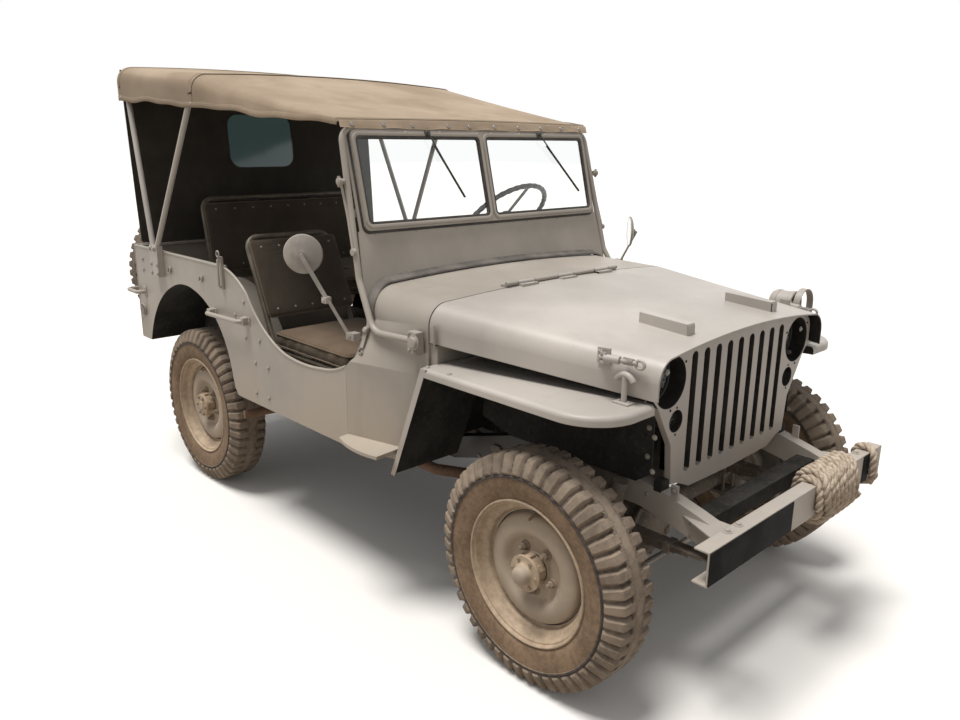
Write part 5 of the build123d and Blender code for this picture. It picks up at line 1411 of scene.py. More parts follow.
def stuffed(name, size, rounding, crown, crease_depth, swell_cap, seed):
    """The mesh of a pad about its own middle, filled with air pressure between its seams."""
    form = Shape()
    form.slab(Matrix(), size, rounding, 3)
    data = bpy.data.meshes.new(name)
    form.mesh.to_mesh(data)
    form.mesh.free()
    pad = bpy.data.objects.new(name, data)
    bpy.context.scene.collection.objects.link(pad)
    remesh = pad.modifiers.new("remesh", "REMESH")
    remesh.mode = "VOXEL"
    remesh.voxel_size = pad_voxel
    view = bpy.context.evaluated_depsgraph_get()
    fine = bpy.data.meshes.new_from_object(pad.evaluated_get(view))
    pad.modifiers.clear()
    pad.data = fine
    half = [s / 2 for s in size]
    for v in fine.vertices:
        x, y, z = (v.co[k] / half[k] for k in range(3))
        inside = max(0.0, 1 - abs(x) ** 3) * max(0.0, 1 - abs(y) ** 3)
        puff = noise.noise(Vector((v.co.x * 9, v.co.y * 9, seed)))
        if z > 0:
            v.co.z += (crown * inside + crease_depth * puff * inside ** 0.5) * z
        band = max(0.0, 1 - abs(z) ** 2)
        crease = noise.noise(Vector((v.co.x * 26, v.co.y * 26, seed + v.co.z * 6)))
        if abs(x) > 0.93:
            v.co.x += math.copysign((crease * 1.3 - 0.4) * crease_depth * band, x)
        if abs(y) > 0.93:
            v.co.y += math.copysign((crease * 1.3 - 0.4) * crease_depth * band, y)
    start = [v.co.copy() for v in fine.vertices]
    held = pad.vertex_groups.new(name="seams")
    for v in fine.vertices:
        x, y, z = (v.co[k] / half[k] for k in range(3))
        near_seam = abs(abs(z) - 0.9) < 0.14 and (abs(x) > 0.92 or abs(y) > 0.92)
        held.add([v.index], 1.0 if z < -0.85 or near_seam else 0.0, "REPLACE")
    cloth = pad.modifiers.new("cloth", "CLOTH")
    cloth.settings.use_pressure = True
    cloth.settings.uniform_pressure_force = 4
    cloth.settings.effector_weights.gravity = 0
    cloth.settings.vertex_group_mass = "seams"
    cloth.settings.quality = 4
    cloth.point_cache.frame_end = pad_frames
    scene = bpy.context.scene
    for frame_number in range(1, pad_frames + 1):
        scene.frame_set(frame_number)
    view = bpy.context.evaluated_depsgraph_get()
    blown = bpy.data.meshes.new_from_object(pad.evaluated_get(view))
    pad.modifiers.clear()
    pad.vertex_groups.clear()
    for v, was in zip(blown.vertices, start):
        move = v.co - was
        if move.length > swell_cap:
            v.co = was + move.normalized() * swell_cap
    pad.data = blown
    scene.frame_set(1)
    bend = pad.modifiers.new("finer", "SUBSURF")
    bend.levels = 1
    bend.render_levels = 1
    view = bpy.context.evaluated_depsgraph_get()
    done = bpy.data.meshes.new_from_object(pad.evaluated_get(view))
    pad.modifiers.clear()
    pad.data = done
    done.shade_smooth()
    return pad


def seam_cord(name, place, half_x, half_y, z, corner, thick=0.0032):
    """A corded seam round a pad, at a height of its own."""
    ring = []
    for cx, cy, start in ((half_x - corner, half_y - corner, 0), (corner - half_x, half_y - corner, 90),
                          (corner - half_x, corner - half_y, 180),
                          (half_x - corner, corner - half_y, 270)):
        for k in range(9):
            a = math.radians(start + 90 * k / 8)
            ring.append(place @ Vector((cx + corner * math.cos(a), cy + corner * math.sin(a), z)))
    shape = Shape()
    shape.rings(tube_rings(ring, thick, 8), along=True)
    return shape.made(name, cord_duck, slot="seat_canvas", crease=80)


def upholster(pad, place, top_finish, side_finish, seam_z):
    """Puts a pad in its place; what lies above the seam wears the top's cloth."""
    pad.data.materials.clear()
    pad.data.materials.append(side_finish)
    pad.data.materials.append(top_finish)
    for face in pad.data.polygons:
        face.material_index = 1 if face.center.z > seam_z else 0
    pad.data.transform(place)
    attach(pad, "body")


cushions = {"right": (-1418, -905, -645, -232, 736.5, 813), "left": (-1418, -905, 232, 645, 736.5, 813),
            "bench": (-2300, -1940, -450, 450, 801.5, 878)}
for order, (word, (x0, x1, y0, y1, z0, z1)) in enumerate(cushions.items()):
    size = ((x1 - x0 - 10) / 1000, (y1 - y0 - 10) / 1000, (z1 - z0 - 6) / 1000)
    place = Matrix.Translation(car((x0 + x1) / 2, (y0 + y1) / 2, (z0 + z1) / 2 - 3))
    pad = stuffed("seat_cushion_" + word, size, 0.022, 0.007, 0.005, 0.006, order * 7.3)
    upholster(pad, place, brown_duck, side_duck_shaded, size[2] / 2 - 0.014)
    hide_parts("seat_cushions")
    for level, word_two in ((size[2] / 2 - 0.013, "upper"), (-size[2] / 2 + 0.013, "lower")):
        seam_cord("cushion_seam_" + word_two + "_" + word, place, size[0] / 2 + 0.001,
                  size[1] / 2 + 0.001, level,
                  0.026)


def leaning(low, high, y, offset):
    """The middle of a leaning back and its turn: local X up, local Y across, local Z forward."""
    a = car(low[0], y, low[1])
    b = car(high[0], y, high[1])
    up = (b - a).normalized()
    across = Vector((0, 1, 0))
    ahead = up.cross(across).normalized()
    if ahead.x < 0:
        ahead = -ahead
        across = -across
    turn = Matrix((up, across, ahead)).transposed().to_4x4()
    return Matrix.Translation((a + b) / 2 + ahead * offset / 1000) @ turn, (b - a).length


backs = {"right": ((-1479, 835), (-1610, 1128), -641, -236, 28.4, 34),
         "left": ((-1479, 835), (-1610, 1128), 236, 641, 28.4, 34),
         "bench": ((-2339, 900), (-2403, 1225), -448, 448, 31.4, 40)}
studs = Shape()
for order, (word, (low, high, y0, y1, offset, thick)) in enumerate(backs.items()):
    place, run = leaning(low, high, (y0 + y1) / 2, offset)
    size = (run - 0.006, (y1 - y0 - 8) / 1000, (thick - 5) / 1000)
    pad = stuffed("seat_back_" + word, size, 0.011, 0.004, 0.003, 0.004, 31 + order * 5.7)
    upholster(pad, place, back_duck_shaded, back_duck_shaded, 0)
    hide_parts("seat_backs")
    seam_cord("back_seam_" + word, place, size[0] / 2 + 0.0005, size[1] / 2 + 0.0005,
              size[2] / 2 - 0.009, 0.014, 0.0028)
    count = 9 if word == "bench" else 5
    for k in range(count):
        y = size[1] * ((k + 0.5) / count - 0.5)
        for x in (-size[0] / 2 + 0.028, size[0] / 2 - 0.028):
            point = place @ Vector((x, y, size[2] / 2 + 0.0008))
            rivet_head(studs, point, place.to_3x3() @ Vector((0, 0, 1)), 10, 3.5)
studs.made("seat_studs", rim_metal, slot="dark_paint")
belt_black = duck("belt_black", (0.028, 0.026, 0.026), 0.7, 0.0004, 0.1)
belts = Shape()
for y in (-170, 170):
    line = [(-2404, y, 1244), (-2385, y, 1246), (-2368, y, 1228), (-2350, y, 1130), (-2330, y, 1030),
            (-2311, y, 935), (-2296, y, 897), (-2270, y, 889), (-2180, y, 890), (-2090, y, 889)]
    flat_bar(belts, line, (0, 1, 0), 46, 2.2)
    for z, x in ((1180, -2359), (1040, -2332)):
        belts.block(car(x + 4, y, z), (0.006, 0.052, 0.018), 0.0015)
belts.made("bench_belts", belt_black, slot="dark_paint", crease=60)


# Canvas top: one cut of tan duck from the windshield's top member over both bows, with
# short sides that hang in a wavy hem. Studs hold its front, and a curtain hangs behind.
canvas_mix = Recipe("canvas_duck")
canvas_parts = [canvas_mix.part(k) for k in range(3)]
warp = canvas_mix.sine(canvas_parts[0] * 2600.0)
weft = canvas_mix.sine((canvas_parts[1] + canvas_parts[2]) * 2600.0)
canvas_cloud = canvas_mix.noise(2.4, 5, 0.62)
canvas_stain = canvas_mix.noise(7.0, 5, 0.6)
canvas_fibre = canvas_mix.noise(420, 3, 0.6)
canvas_base = canvas_mix.blend(canvas_mix.step(canvas_cloud, 0.32, 0.7), (0.340, 0.258, 0.180),
                               (0.480, 0.378, 0.280))
canvas_base = canvas_mix.blend(canvas_mix.step(canvas_stain, 0.56, 0.78) * 0.4, canvas_base,
                               (0.27, 0.205, 0.145))
canvas_base = canvas_mix.blend((warp * weft + 1) * 0.07, canvas_base, (0.60, 0.50, 0.39))
# The hanging sides are darkened as painted shade.
side_shade = canvas_mix.step(canvas_parts[1] * canvas_parts[1], 0.46, 0.488)
canvas_base = canvas_mix.blend(side_shade * 0.55, canvas_base, (0.200, 0.146, 0.098))
canvas_tan = canvas_mix.shader(Base_Color=canvas_base, Roughness=(canvas_fibre - 0.5) * 0.1 + 0.9,
                               Normal=canvas_mix.bump(warp * weft * 0.4 + canvas_fibre * 0.7, 0.0008),
                               Sheen_Weight=0.12, Specular_IOR_Level=0.15)
# The inside faces of the top and the curtain are near black as painted shade.
shaded_canvas = duck("canvas_inside_painted_shade", (0.040, 0.034, 0.027), grime=0.2)
# Stations along the top: x, half width, hem, shoulder and crown heights, corner radius
stations = [(-936.7, 640, 1578, 1600, 1606, 12), (-1866, 706, 1650, 1786, 1804, 70),
            (-2606, 708, 1694, 1850, 1866, 70)]
front_bow = -1866.0
rear_bow = -2590.0
skin = 2.2


def between(a, b, t):
    return a + (b - a) * t


def canvas_station(x):
    first, second = (stations[0], stations[1]) if x > stations[1][0] else (stations[1], stations[2])
    t = (x - first[0]) / (second[0] - first[0])
    return [between(p, q, t) for p, q in zip(first, second)]


def canvas_row(x, inner):
    """One row of the sheet across the car, from the right hem to the left one."""
    _, half, hem, shoulder, crown, r = canvas_station(x)
    front_span = (x + 936.7) / (-1866 + 936.7)
    rear_span = (x + 1866) / (-2606 + 1866)
    span = front_span if x > front_bow else rear_span
    sag = math.sin(math.pi * max(0.0, min(1.0, span)))
    drop = 16 * sag if x > front_bow else 13 * sag
    off = -skin if inner else 0
    half += off
    wave = 5.0 * math.sin(x / 95) + 3.5 * math.sin(x / 41 + 1.3)
    hem_low = hem + 6 + wave * min(1, sag + 0.25)
    row = []
    pull = 5 * sag
    for k in range(7):
        z = hem_low + (shoulder - r - hem_low) * k / 6
        flutter = 2.2 * math.sin(x / 57 + k * 0.3) * (1 - k / 6) * min(1.0, sag + 0.3)
        row.append((half - 3.0 - pull * k / 6 + flutter, z))
    for k in range(1, 9):
        a = math.radians(90 * k / 9)
        row.append((half - 3.0 - pull - r + r * math.cos(a),
                    shoulder - r + (r + off) * math.sin(a) - drop * 0.25 * k / 9))
    reach = half - 3.0 - pull - r
    for k in range(0, 25):
        y = reach * (1 - k / 24)
        u = y / reach
        z = shoulder + (crown - shoulder) * (1 - u * u) + off - drop * (0.25 + 0.75 * (1 - u ** 2))
        ridge = 1.4 * math.sin(y / 26 + x / 88) * sag * (1 - u ** 2)
        row.append((y, z + ridge))
    right = [car(x, -y, z) for y, z in row]
    left = [car(x, y, z) for y, z in reversed(row[:-1])]
    return right + left


canvas_x = [-937.2 - 1668.0 * k / 84 for k in range(85)]
outer = [canvas_row(x, False) for x in canvas_x]
inner = [canvas_row(x, True) for x in canvas_x]
top = Shape()
for rows in (outer, inner):
    top.rings(rows, around=False)
for ends in ((outer[0], inner[0]), (outer[-1], inner[-1])):
    top.rings(ends, around=False)
for edge in (0, -1):
    top.rings([[row[edge] for row in outer], [row[edge] for row in inner]], around=False)
canvas_top = top.made("canvas_sheet", canvas_tan, slot="canvas_tan", crease=70)
canvas_top.data.materials.append(shaded_canvas)
for face in canvas_top.data.polygons:
    middle = face.center
    facing_in = face.normal.z < -0.15 or (middle.y * face.normal.y < 0 and abs(face.normal.y) > 0.4)
    face.material_index = 1 if facing_in else 0
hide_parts("canvas_top")


def thick_line(shape, points, normals, width, height):
    """A raised strip of cloth along a line of points in metres."""
    rows = []
    for k, p in enumerate(points):
        ahead = (points[min(k + 1, len(points) - 1)] - points[max(k - 1, 0)]).normalized()
        across = ahead.cross(normals[k]).normalized() * width / 2
        rows.append([p - across, p - across * 0.8 + normals[k] * height,
                     p + across * 0.8 + normals[k] * height,
                     p + across])
    return shape.rings(rows, caps=True)


def across_normals(points):
    found = []
    for k in range(len(points)):
        ahead = points[min(k + 1, len(points) - 1)] - points[max(k - 1, 0)]
        found.append(Vector((0, -ahead.z, ahead.y)).normalized() * (1 if ahead.y > 0 else -1)
                     if abs(ahead.y) > 1e-6 else Vector((0, math.copysign(1, points[k].y), 0)))
    return [n if n.z > -0.2 else -n for n in found]


hems = Shape()
for side_edge in (0, -1):
    edge = [row[side_edge] for row in outer]
    side = math.copysign(1, edge[0].y)
    line = [p + Vector((0, 0, 0.011)) for p in edge]
    thick_line(hems, line, [Vector((0, side, 0))] * len(line), 0.022, 0.0016)
for x, wide in ((front_bow, 0.034), (rear_bow, 0.030), (-958, 0.026)):
    row = canvas_row(x, False)
    normals = across_normals(row)
    thick_line(hems, row, normals, wide, 0.0014)
hem_piece = hems.made("canvas_hems", canvas_tan, slot="canvas_tan", crease=50)
stitches = Shape()
for x in (front_bow - 14, front_bow + 14, rear_bow + 12, -948, -968):
    row = canvas_row(x, False)
    normals = across_normals(row)
    line = [p + n * 0.0015 for p, n in zip(row, normals)]
    stitches.rings(tube_rings(line, 0.0008, 6), caps=True)
stitch_piece = stitches.made("canvas_stitches", piping_duck, slot="canvas_tan", crease=80)
canvas_studs = Shape()
for y in (-588, -456, -328, -160, -54, 79, 212, 345, 470, 590):
    _, half, hem, shoulder, crown, r = canvas_station(-945)
    canvas_studs.turned(facing(shield(y, 1584, 13.5), shield_ahead),
                        metres([(8.5, -2), (8.5, 0), (7, 2.4), (3.5, 3.2), (0, 3.4)]), 18)
for side in (1, -1):
    for x in (-1250, -1560, -1866, -2100, -2350, -2580):
        row = canvas_row(x, False)
        p = row[1] if side < 0 else row[-2]
        rivet_head(canvas_studs, p + Vector((0, side * 0.0012, 0.004)), (0, side, 0), 12, 3)
stud_piece = canvas_studs.made("canvas_studs", rim_metal, slot="dark_paint")
front_flap = Shape()
rows = []
for k in range(61):
    y = -636 + 1272 * k / 60
    wave = 3.2 * math.sin(y / 37) + 2.0 * math.sin(y / 17 + 0.8)
    crown_z = 1600 + 6 * (1 - (y / 640) ** 2)
    rows.append([shield(y, crown_z - 1, 11.0 - 2), shield(y, 1592, 13.5), shield(y, 1576, 13.8),
                 shield(y, 1571 + wave * 0.5, 15.5 + wave * 0.3),
                 shield(y, 1570.5 + wave * 0.5, 13.8 + wave * 0.3),
                 shield(y, 1576, 12.2), shield(y, 1590, 11.8)])
front_flap.rings(rows, caps=True)
flap_piece = front_flap.made("canvas_front_flap", canvas_tan, slot="canvas_tan", crease=60)


# Rear curtain: a flat cut of the same duck with a rounded window of clear film, sewn in
# with a facing. It hangs from the top's rear edge and is strapped to the rear panel.
curtain_low = Vector((-2544, 0, 1039))
curtain_high = Vector((-2604, 0, 1838))
window_half = 185
window_low = 1390
window_high = 1654
window_round = 60


def curtain(y, z, back=0.0):
    t = (z - curtain_low.z) / (curtain_high.z - curtain_low.z)
    return car(curtain_low.x + (curtain_high.x - curtain_low.x) * t - back, y, z)


def window_ring(grow, back, steps=8):
    ring = []
    r = window_round + grow
    for cy, cz, start in ((1, 1, 0), (-1, 1, 90), (-1, -1, 180), (1, -1, 270)):
        oy = cy * (window_half + grow - r)
        mid = (window_low + window_high) / 2
        oz = mid + cz * ((window_high - window_low) / 2 + grow - r)
        for k in range(steps + 1):
            a = math.radians(start + 90 * k / steps)
            ring.append(curtain(oy + r * math.cos(a), oz + r * math.sin(a), back))
    return ring


def outline_ring(share, back):
    """A ring from the window's edge at share 0 to the curtain's edge at share 1."""
    ring = []
    mid_z = (window_low + window_high) / 2
    for p in window_ring(0, 0):
        y = p.y * 1000
        z = p.z * 1000
        dy, dz = y, z - mid_z
        limits = [(688 / abs(dy)) if dy else 99,
                  ((1836 - mid_z) / dz if dz > 0 else (1041 - mid_z) / dz) if dz else 99]
        reach = min(limits)
        edge_y, edge_z = dy * reach, mid_z + dz * reach
        py = y + (edge_y - y) * share
        pz = z + (edge_z - z) * share
        hang = max(0.0, min(1.0, (1836 - pz) / 800))
        ripple = (5.0 * math.sin(py / 62 + 0.4)
                  + 3.0 * math.sin(py / 29)) * math.sin(math.pi * hang) * share
        ring.append(curtain(py, pz, back + ripple * 0.6 + 2.5))
    return ring


sheet_rows = [outline_ring(k / 16, 1.1) for k in range(17)] + [outline_ring(k / 16, -1.1)
                                                                  for k in range(16, -1, -1)]
curtain_shape = Shape().rings(sheet_rows, along=True)
curtain_sheet = curtain_shape.made("rear_curtain_sheet", canvas_tan, slot="canvas_tan", crease=70)
curtain_sheet.data.materials.append(shaded_canvas)
for face in curtain_sheet.data.polygons:
    face.material_index = 1 if face.normal.x > 0.3 else 0
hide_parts("rear_curtain")
facing_shape = Shape().rings([window_ring(-2, 1.6), window_ring(-2, 4.8), window_ring(24, 4.8),
                              window_ring(26, 2.4)])
window_facing = facing_shape.made("window_facing", canvas_tan, slot="canvas_tan", crease=50)
film_mix = clear("window_film", (0.0006, 0.0016, 0.0014), 0.10)
film_rings = [window_ring(4, 1.5),
              [window_ring(4, 1.5)[k].lerp(curtain(0, 1522, 1.5), 0.5) for k in range(36)]]
film = Shape()
film.rings(film_rings)
middle_point = film.mesh.verts.new(curtain(0, 1522, 1.5))
last_ring = [film.mesh.verts.new(p) for p in film_rings[1]]
for k in range(36):
    film.mesh.faces.new((last_ring[k], last_ring[(k + 1) % 36], middle_point))
window_film = film.made("window_film", film_mix, slot="glass_clear", crease=80)
curtain_straps = Shape()
for y in (-560, -280, 0, 280, 560):
    flat_bar(curtain_straps, [(-2559.5, y, 985), (-2559.5, y, 1046), (-2562, y, 1090)], (0, 1, 0),
             24, 2)
    curtain_straps.block(car(-2561.5, y, 1010), (0.005, 0.032, 0.026), 0.001)
curtain_straps.made("curtain_straps", piping_duck, slot="canvas_tan")


# Springs: bowed stacks of flat steel leaves, longest on top, held by clips and clamped to
# the axles by plates with two U-bolts. Dampers stand between plate and rail.
spring_steel = plain_paint("spring_steel", (0.115, 0.090, 0.070), 0.7, speck_share=0.55)
underbody_paint = plain_paint("underbody_paint", (0.150, 0.125, 0.100), 0.7, speck_share=0.55)
bare_iron = plain_paint("bare_iron", (0.260, 0.235, 0.205), 0.5, speck_share=0.35, metallic=0.25)
leaf_thick = 5.0


def sag_z(x, ends, x_mid, z_mid):
    """Height of a spring's upper leaf: a bow through both eyes and its middle."""
    (x0, z0), (x1, z1) = ends
    line = z0 + (z1 - z0) * (x - x0) / (x1 - x0)
    middle_line = z0 + (z1 - z0) * (x_mid - x0) / (x1 - x0)
    span = (x - x0) * (x - x1) / ((x_mid - x0) * (x_mid - x1))
    return line + (z_mid - middle_line) * span


springs = Shape()
clamps = Shape()
for side in (1, -1):
    y = side * 348.5
    for ends, x_mid in ((((412, 428), (-430, 440)), 0), (((-1540, 396), (-2500, 470)), -2032)):
        top_mid = 351 + 35 + 22.3 + 19
        for leaf in range(8):
            reach = 1.0 - leaf * 0.105
            x0 = x_mid + (ends[0][0] - x_mid) * reach
            x1 = x_mid + (ends[1][0] - x_mid) * reach
            line = []
            for k in range(17):
                x = x0 + (x1 - x0) * k / 16
                line.append((x, y, sag_z(x, ends, x_mid, top_mid) - leaf * leaf_thick))
            flat_bar(springs, line, (0, 1, 0), 43, leaf_thick - 0.5)
        for x, z in ends:
            springs.turned(facing(car(x, y - 23, z), (0, 1, 0)),
                           metres([(0, 0), (17, 0), (17, 46), (0, 46)]), 28)
            for out in (-27, 27):
                bolt_head(clamps, car(x, y + out, z), (0, math.copysign(1, out), 0), 24, 10)
        for share in (-0.62, 0.62):
            x = x_mid + (ends[0][0] - x_mid) * share if share > 0 else x_mid + (ends[1][0] - x_mid) * -share
            z = sag_z(x, ends, x_mid, top_mid)
            clamps.block(car(x, y, z - 9), (0.024, 0.052, 0.030), 0.002)
            bolt_head(clamps, car(x, y + 26, z - 9), (0, 1, 0), 12, 5)
        clamps.block(car(x_mid, y, top_mid - 40), (0.130, 0.074, 0.010), 0.002)
        clamps.block(car(x_mid, y, top_mid + 7), (0.120, 0.060, 0.008), 0.002)
        clamps.block(car(x_mid, y, 351 - 42), (0.130, 0.084, 0.012), 0.002)
        for x in (x_mid - 48, x_mid + 48):
            for dy in (-32, 32):
                clamps.rod([car(x, y + dy, 296), car(x, y + dy, top_mid + 6)], 0.006)
                bolt_head(clamps, car(x, y + dy, 303), (0, 0, -1), 18, 9)
            clamps.rod([car(x, y + 32 * math.cos(math.radians(a)),
                            top_mid + 10 + 6 * math.sin(math.radians(a)))
                        for a in range(0, 181, 30)], 0.006)
shackle_rows = (((412, 428), 455), ((-430, 440), 516), ((-1540, 396), 516), ((-2500, 470), 504))
for side in (1, -1):
    for (x, z), top_z in shackle_rows:
        for dy in (-26, 26):
            y = side * 348.5 + dy
            clamps.block(car(x, y, (z + top_z) / 2 - 2), (0.034, 0.007, (top_z - z + 40) / 1000), 0.003)
        clamps.block(car(x, side * 348.5, top_z + 2), (0.050, 0.060, 0.016), 0.003)
    for low, high, stud in (((60, 400), (110, 590), (75, 420)),
                            ((-1972, 400), (-1802, 560), (-1966, 410))):
        a = car(low[0], side * 405, low[1])
        b = car(high[0], side * 405, high[1])
        along = (b - a).normalized()
        length = (b - a).length * 1000
        tube = facing(a, along)
        clamps.turned(tube, metres([(0, 0), (20, 0), (21.5, 4), (21.5, length * 0.50),
                                    (20, length * 0.50 + 2), (24.5, length * 0.50 + 2),
                                    (25.5, length * 0.50 + 6), (25.5, length - 6), (23, length),
                                    (0, length)]), 36)
        clamps.rod([car(stud[0], side * 415, stud[1]), car(stud[0], side * 352, stud[1] - 16)], 0.011)
        clamps.rod([b - along * 0.018 + Vector((0, side * 0.012, 0)),
                    b - along * 0.018 - Vector((0, side * 0.038, 0))], 0.011)
spring_piece = springs.made("spring_leaves", spring_steel, slot="underbody", crease=30)
clamps.made("spring_clamps", underbody_paint, slot="underbody", crease=32)
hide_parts("suspension")


# Axles: cast bowls with a ribbed bolted cover and drawn tubes, whose front ends are open
# balls that carry the swivels. Swivels, arms and tie rod are bare forged iron.
dress(underbody_paint, "front_axle", "rear_axle", "drive_shafts")
dress(bare_iron, "knuckle_right", "knuckle_left", "tie_rod")
axle_detail = Shape()
for x, ahead in ((0, 1), (-2032, -1)):
    cover = facing(car(x, -165, 351), (ahead, 0, 0))
    axle_detail.turned(cover, metres([(0, 106), (40, 104), (66, 97), (84, 85), (92, 74), (103, 70),
                                      (104, 62), (94, 60)]), 48)
    for k in range(10):
        a = math.radians(36 * k + 18)
        head = cover @ Vector((math.cos(a) * 0.097, math.sin(a) * 0.097, 0.0705))
        bolt_head(axle_detail, head, (ahead, 0, 0), 13, 6, washer=False)
    axle_detail.turned(facing(car(x + ahead * 98, -165 + 38, 333), (ahead, 0, 0.0)),
                       metres([(13, 0), (13, 10), (0, 11)]), 6)
axle_detail.made("axle_covers", underbody_paint, slot="underbody", crease=32)
for word, side in (("right", -1), ("left", 1)):
    swivel = Shape()
    for a in range(0, 360, 45):
        y = side * (545 - 25)
        bolt_head(swivel, car(66 * math.cos(math.radians(a)), y,
                              351 + 66 * math.sin(math.radians(a))), (0, -side, 0), 12, 6,
                  washer=False)
    for z, way in ((448, 1), (254, -1)):
        for dx, dy in ((15, 15), (-15, 15), (15, -15), (-15, -15)):
            bolt_head(swivel, car(dx, side * 545 + dy, z), (0, 0, way), 11, 6, washer=False)
    for a in range(0, 360, 60):
        bolt_head(swivel, car(95 * math.cos(math.radians(a)), side * 605.5,
                              351 + 95 * math.sin(math.radians(a))),
                  (0, -side, 0), 12, 5, washer=False)
    bolt_head(swivel, car(145, side * 545, 251), (0, 0, -1), 16, 7)
    swivel.made("swivel_bolts_" + word, bare_iron, "knuckle_" + word, "bare_iron", 32)
rod_detail = Shape()
for side in (1, -1):
    rod_detail.turned(facing(car(145, side * 500, 293), (0, -side, 0)),
                      metres([(10, 0), (15, 1), (15, 26), (12.5, 30), (10, 30)]), 24)
    rod_detail.turned(facing(car(145, side * 545, 305), (0, 0, 1)),
                      metres([(16, 0), (16, 4), (11, 7), (0, 7)]), 24)
rod_detail.made("tie_rod_sleeves", bare_iron, "tie_rod", "bare_iron", 32)
shaft_detail = Shape()
for a, b in (((-817.5, -165, 420), (-154, -165, 359)), ((-987, -165, 420), (-1878, -165, 359))):
    start = car(*a)
    end = car(*b)
    along = (end - start).normalized()
    for point, way in ((start, 1), (end, -1)):
        joint = facing(point + along * way * 0.012, along * way)
        shaft_detail.turned(joint, metres([(26, -4), (43, -3), (43, 6), (40, 9), (26, 10)]), 32)
        shaft_detail.slab(joint @ Matrix.Translation((0, 0, 0.034)), (0.030, 0.074, 0.050), 0.006)
        shaft_detail.turned(joint @ Matrix.Translation((0, 0, 0.060)),
                            metres([(32, 0), (34, 5), (26, 26), (24, 28)]), 28)
        for k in range(4):
            t = math.radians(90 * k + 45)
            bolt_head(shaft_detail, joint @ Vector((math.cos(t) * 0.034, math.sin(t) * 0.034, 0.007)),
                      along * way, 11, 6,
                      washer=False)
shaft_detail.made("shaft_joints", underbody_paint, slot="underbody", crease=32)


# Engine, gearbox and exhaust: a plain cast block fills the engine's place. The pipe and
# silencer below it are rusted steel with rolled seams, clamps and strap hangers.
engine_iron = plain_paint("engine_iron", (0.085, 0.080, 0.072), 0.7, speck_share=0.35)
rust = plain_paint("exhaust_rust", (0.155, 0.085, 0.050), 0.85, grain=220, depth=0.0008,
                   speck_share=0.25)
dress(engine_iron, "engine_block")
dress(rust, "exhaust")
exhaust_detail = Shape()
for x in (-974, -1436):
    exhaust_detail.turned(facing(car(x, -480, 430), (1, 0, 0)),
                          metres([(50, -5), (54.5, -4), (55, 0), (54.5, 4), (50, 5)]), 48)
for x in (-1080, -1330):
    exhaust_detail.turned(facing(car(x, -480, 430), (1, 0, 0)),
                          metres([(52, -11), (53.6, -11), (53.6, 11), (52, 11)]), 48)
    flat_bar(exhaust_detail, [(x, -480, 483), (x, -470, 500), (x, -470, 512)], (1, 0, 0), 22, 3)
    bolt_head(exhaust_detail, car(x, -466, 494), (0, 1, 0), 12, 6)
exhaust_detail.made("exhaust_seams", rust, slot="exhaust_rust", crease=36)
floor_ribs = Shape()
for y in (-560, -420, -280, 280, 420, 560):
    rows = []
    for x in (-1580, -1560, -860, -840):
        edge = 0.0 if x in (-1580, -840) else 5.0
        rows.append([car(x, y + dy, 514.6 + edge * h) for dy, h in ((-22, 0), (-14, 1), (14, 1), (22, 0))])
    floor_ribs.rings(rows, around=False)
floor_ribs.made("floor_ribs", shaded_tub_paint, slot="body_paint", crease=40)




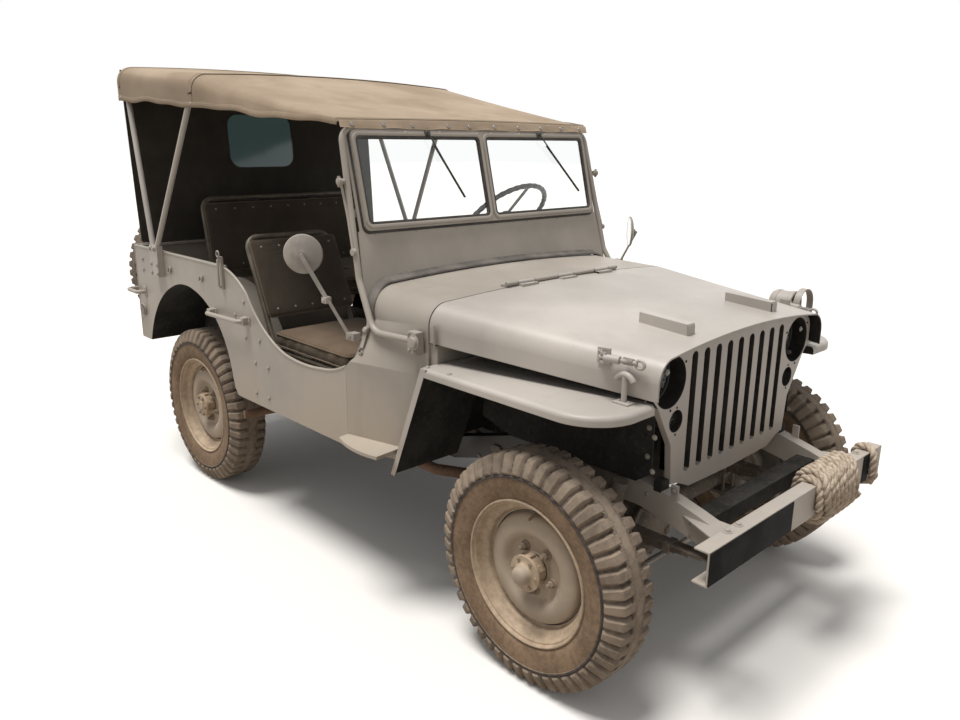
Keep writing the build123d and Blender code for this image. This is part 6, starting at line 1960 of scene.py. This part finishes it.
# Stage: a plain pale floor under a soft white sky, with one broad lamp high up at the
# front left. The sky is white to the camera and in what metal and glass show.
sky = bpy.data.worlds.new("sky")
bpy.context.scene.world = sky
sky.use_nodes = True
sky_nodes = sky.node_tree.nodes
sky_links = sky.node_tree.links
sky_nodes.clear()
seen = sky_nodes.new("ShaderNodeBackground")
seen.inputs[0].default_value = (1, 1, 1, 1)
seen.inputs[1].default_value = 1.0
lit = sky_nodes.new("ShaderNodeBackground")
lit.inputs[0].default_value = (1, 0.985, 0.965, 1)
lit.inputs[1].default_value = 0.46
path = sky_nodes.new("ShaderNodeLightPath")
first = sky_nodes.new("ShaderNodeMath")
second = sky_nodes.new("ShaderNodeMath")
for adder in (first, second):
    adder.operation = "MAXIMUM"
sky_links.new(path.outputs["Is Camera Ray"], first.inputs[0])
sky_links.new(path.outputs["Is Glossy Ray"], first.inputs[1])
sky_links.new(first.outputs[0], second.inputs[0])
sky_links.new(path.outputs["Is Transmission Ray"], second.inputs[1])
choice = sky_nodes.new("ShaderNodeMixShader")
sky_links.new(second.outputs[0], choice.inputs[0])
sky_links.new(lit.outputs[0], choice.inputs[1])
sky_links.new(seen.outputs[0], choice.inputs[2])
sky_end = sky_nodes.new("ShaderNodeOutputWorld")
sky_links.new(choice.outputs[0], sky_end.inputs[0])

floor_mix = Recipe("stage_floor")
floor_seen = floor_mix.node("ShaderNodeLightPath", out="Is Camera Ray")
for ray in ("Is Glossy Ray", "Is Transmission Ray"):
    other = floor_mix.node("ShaderNodeLightPath", out=ray)
    floor_seen = floor_mix.node("ShaderNodeMath", {"operation": "MAXIMUM"}, {0: floor_seen, 1: other})
floor_colour = floor_mix.blend(floor_seen, (0.34, 0.295, 0.245), (0.80, 0.79, 0.775))
floor_finish = floor_mix.shader(Base_Color=floor_colour, Roughness=0.9)
floor_data = bpy.data.meshes.new("stage_floor")
reach = 40
floor_data.from_pydata([(-reach, -reach, -0.001), (reach, -reach, -0.001), (reach, reach, -0.001),
                        (-reach, reach, -0.001)], [], [(0, 1, 2, 3)])
floor_data.materials.append(floor_finish)
stage_floor = bpy.data.objects.new("stage_floor", floor_data)
bpy.context.scene.collection.objects.link(stage_floor)
sun_data = bpy.data.lights.new("sun", "SUN")
sun_data.energy = 3.4
sun_data.angle = math.radians(22)
sun_data.color = (1.0, 0.97, 0.93)
sun = bpy.data.objects.new("sun", sun_data)
sun.rotation_euler = Vector((-0.12, -0.22, 1.0)).to_track_quat("Z", "Y").to_euler()
bpy.context.scene.collection.objects.link(sun)
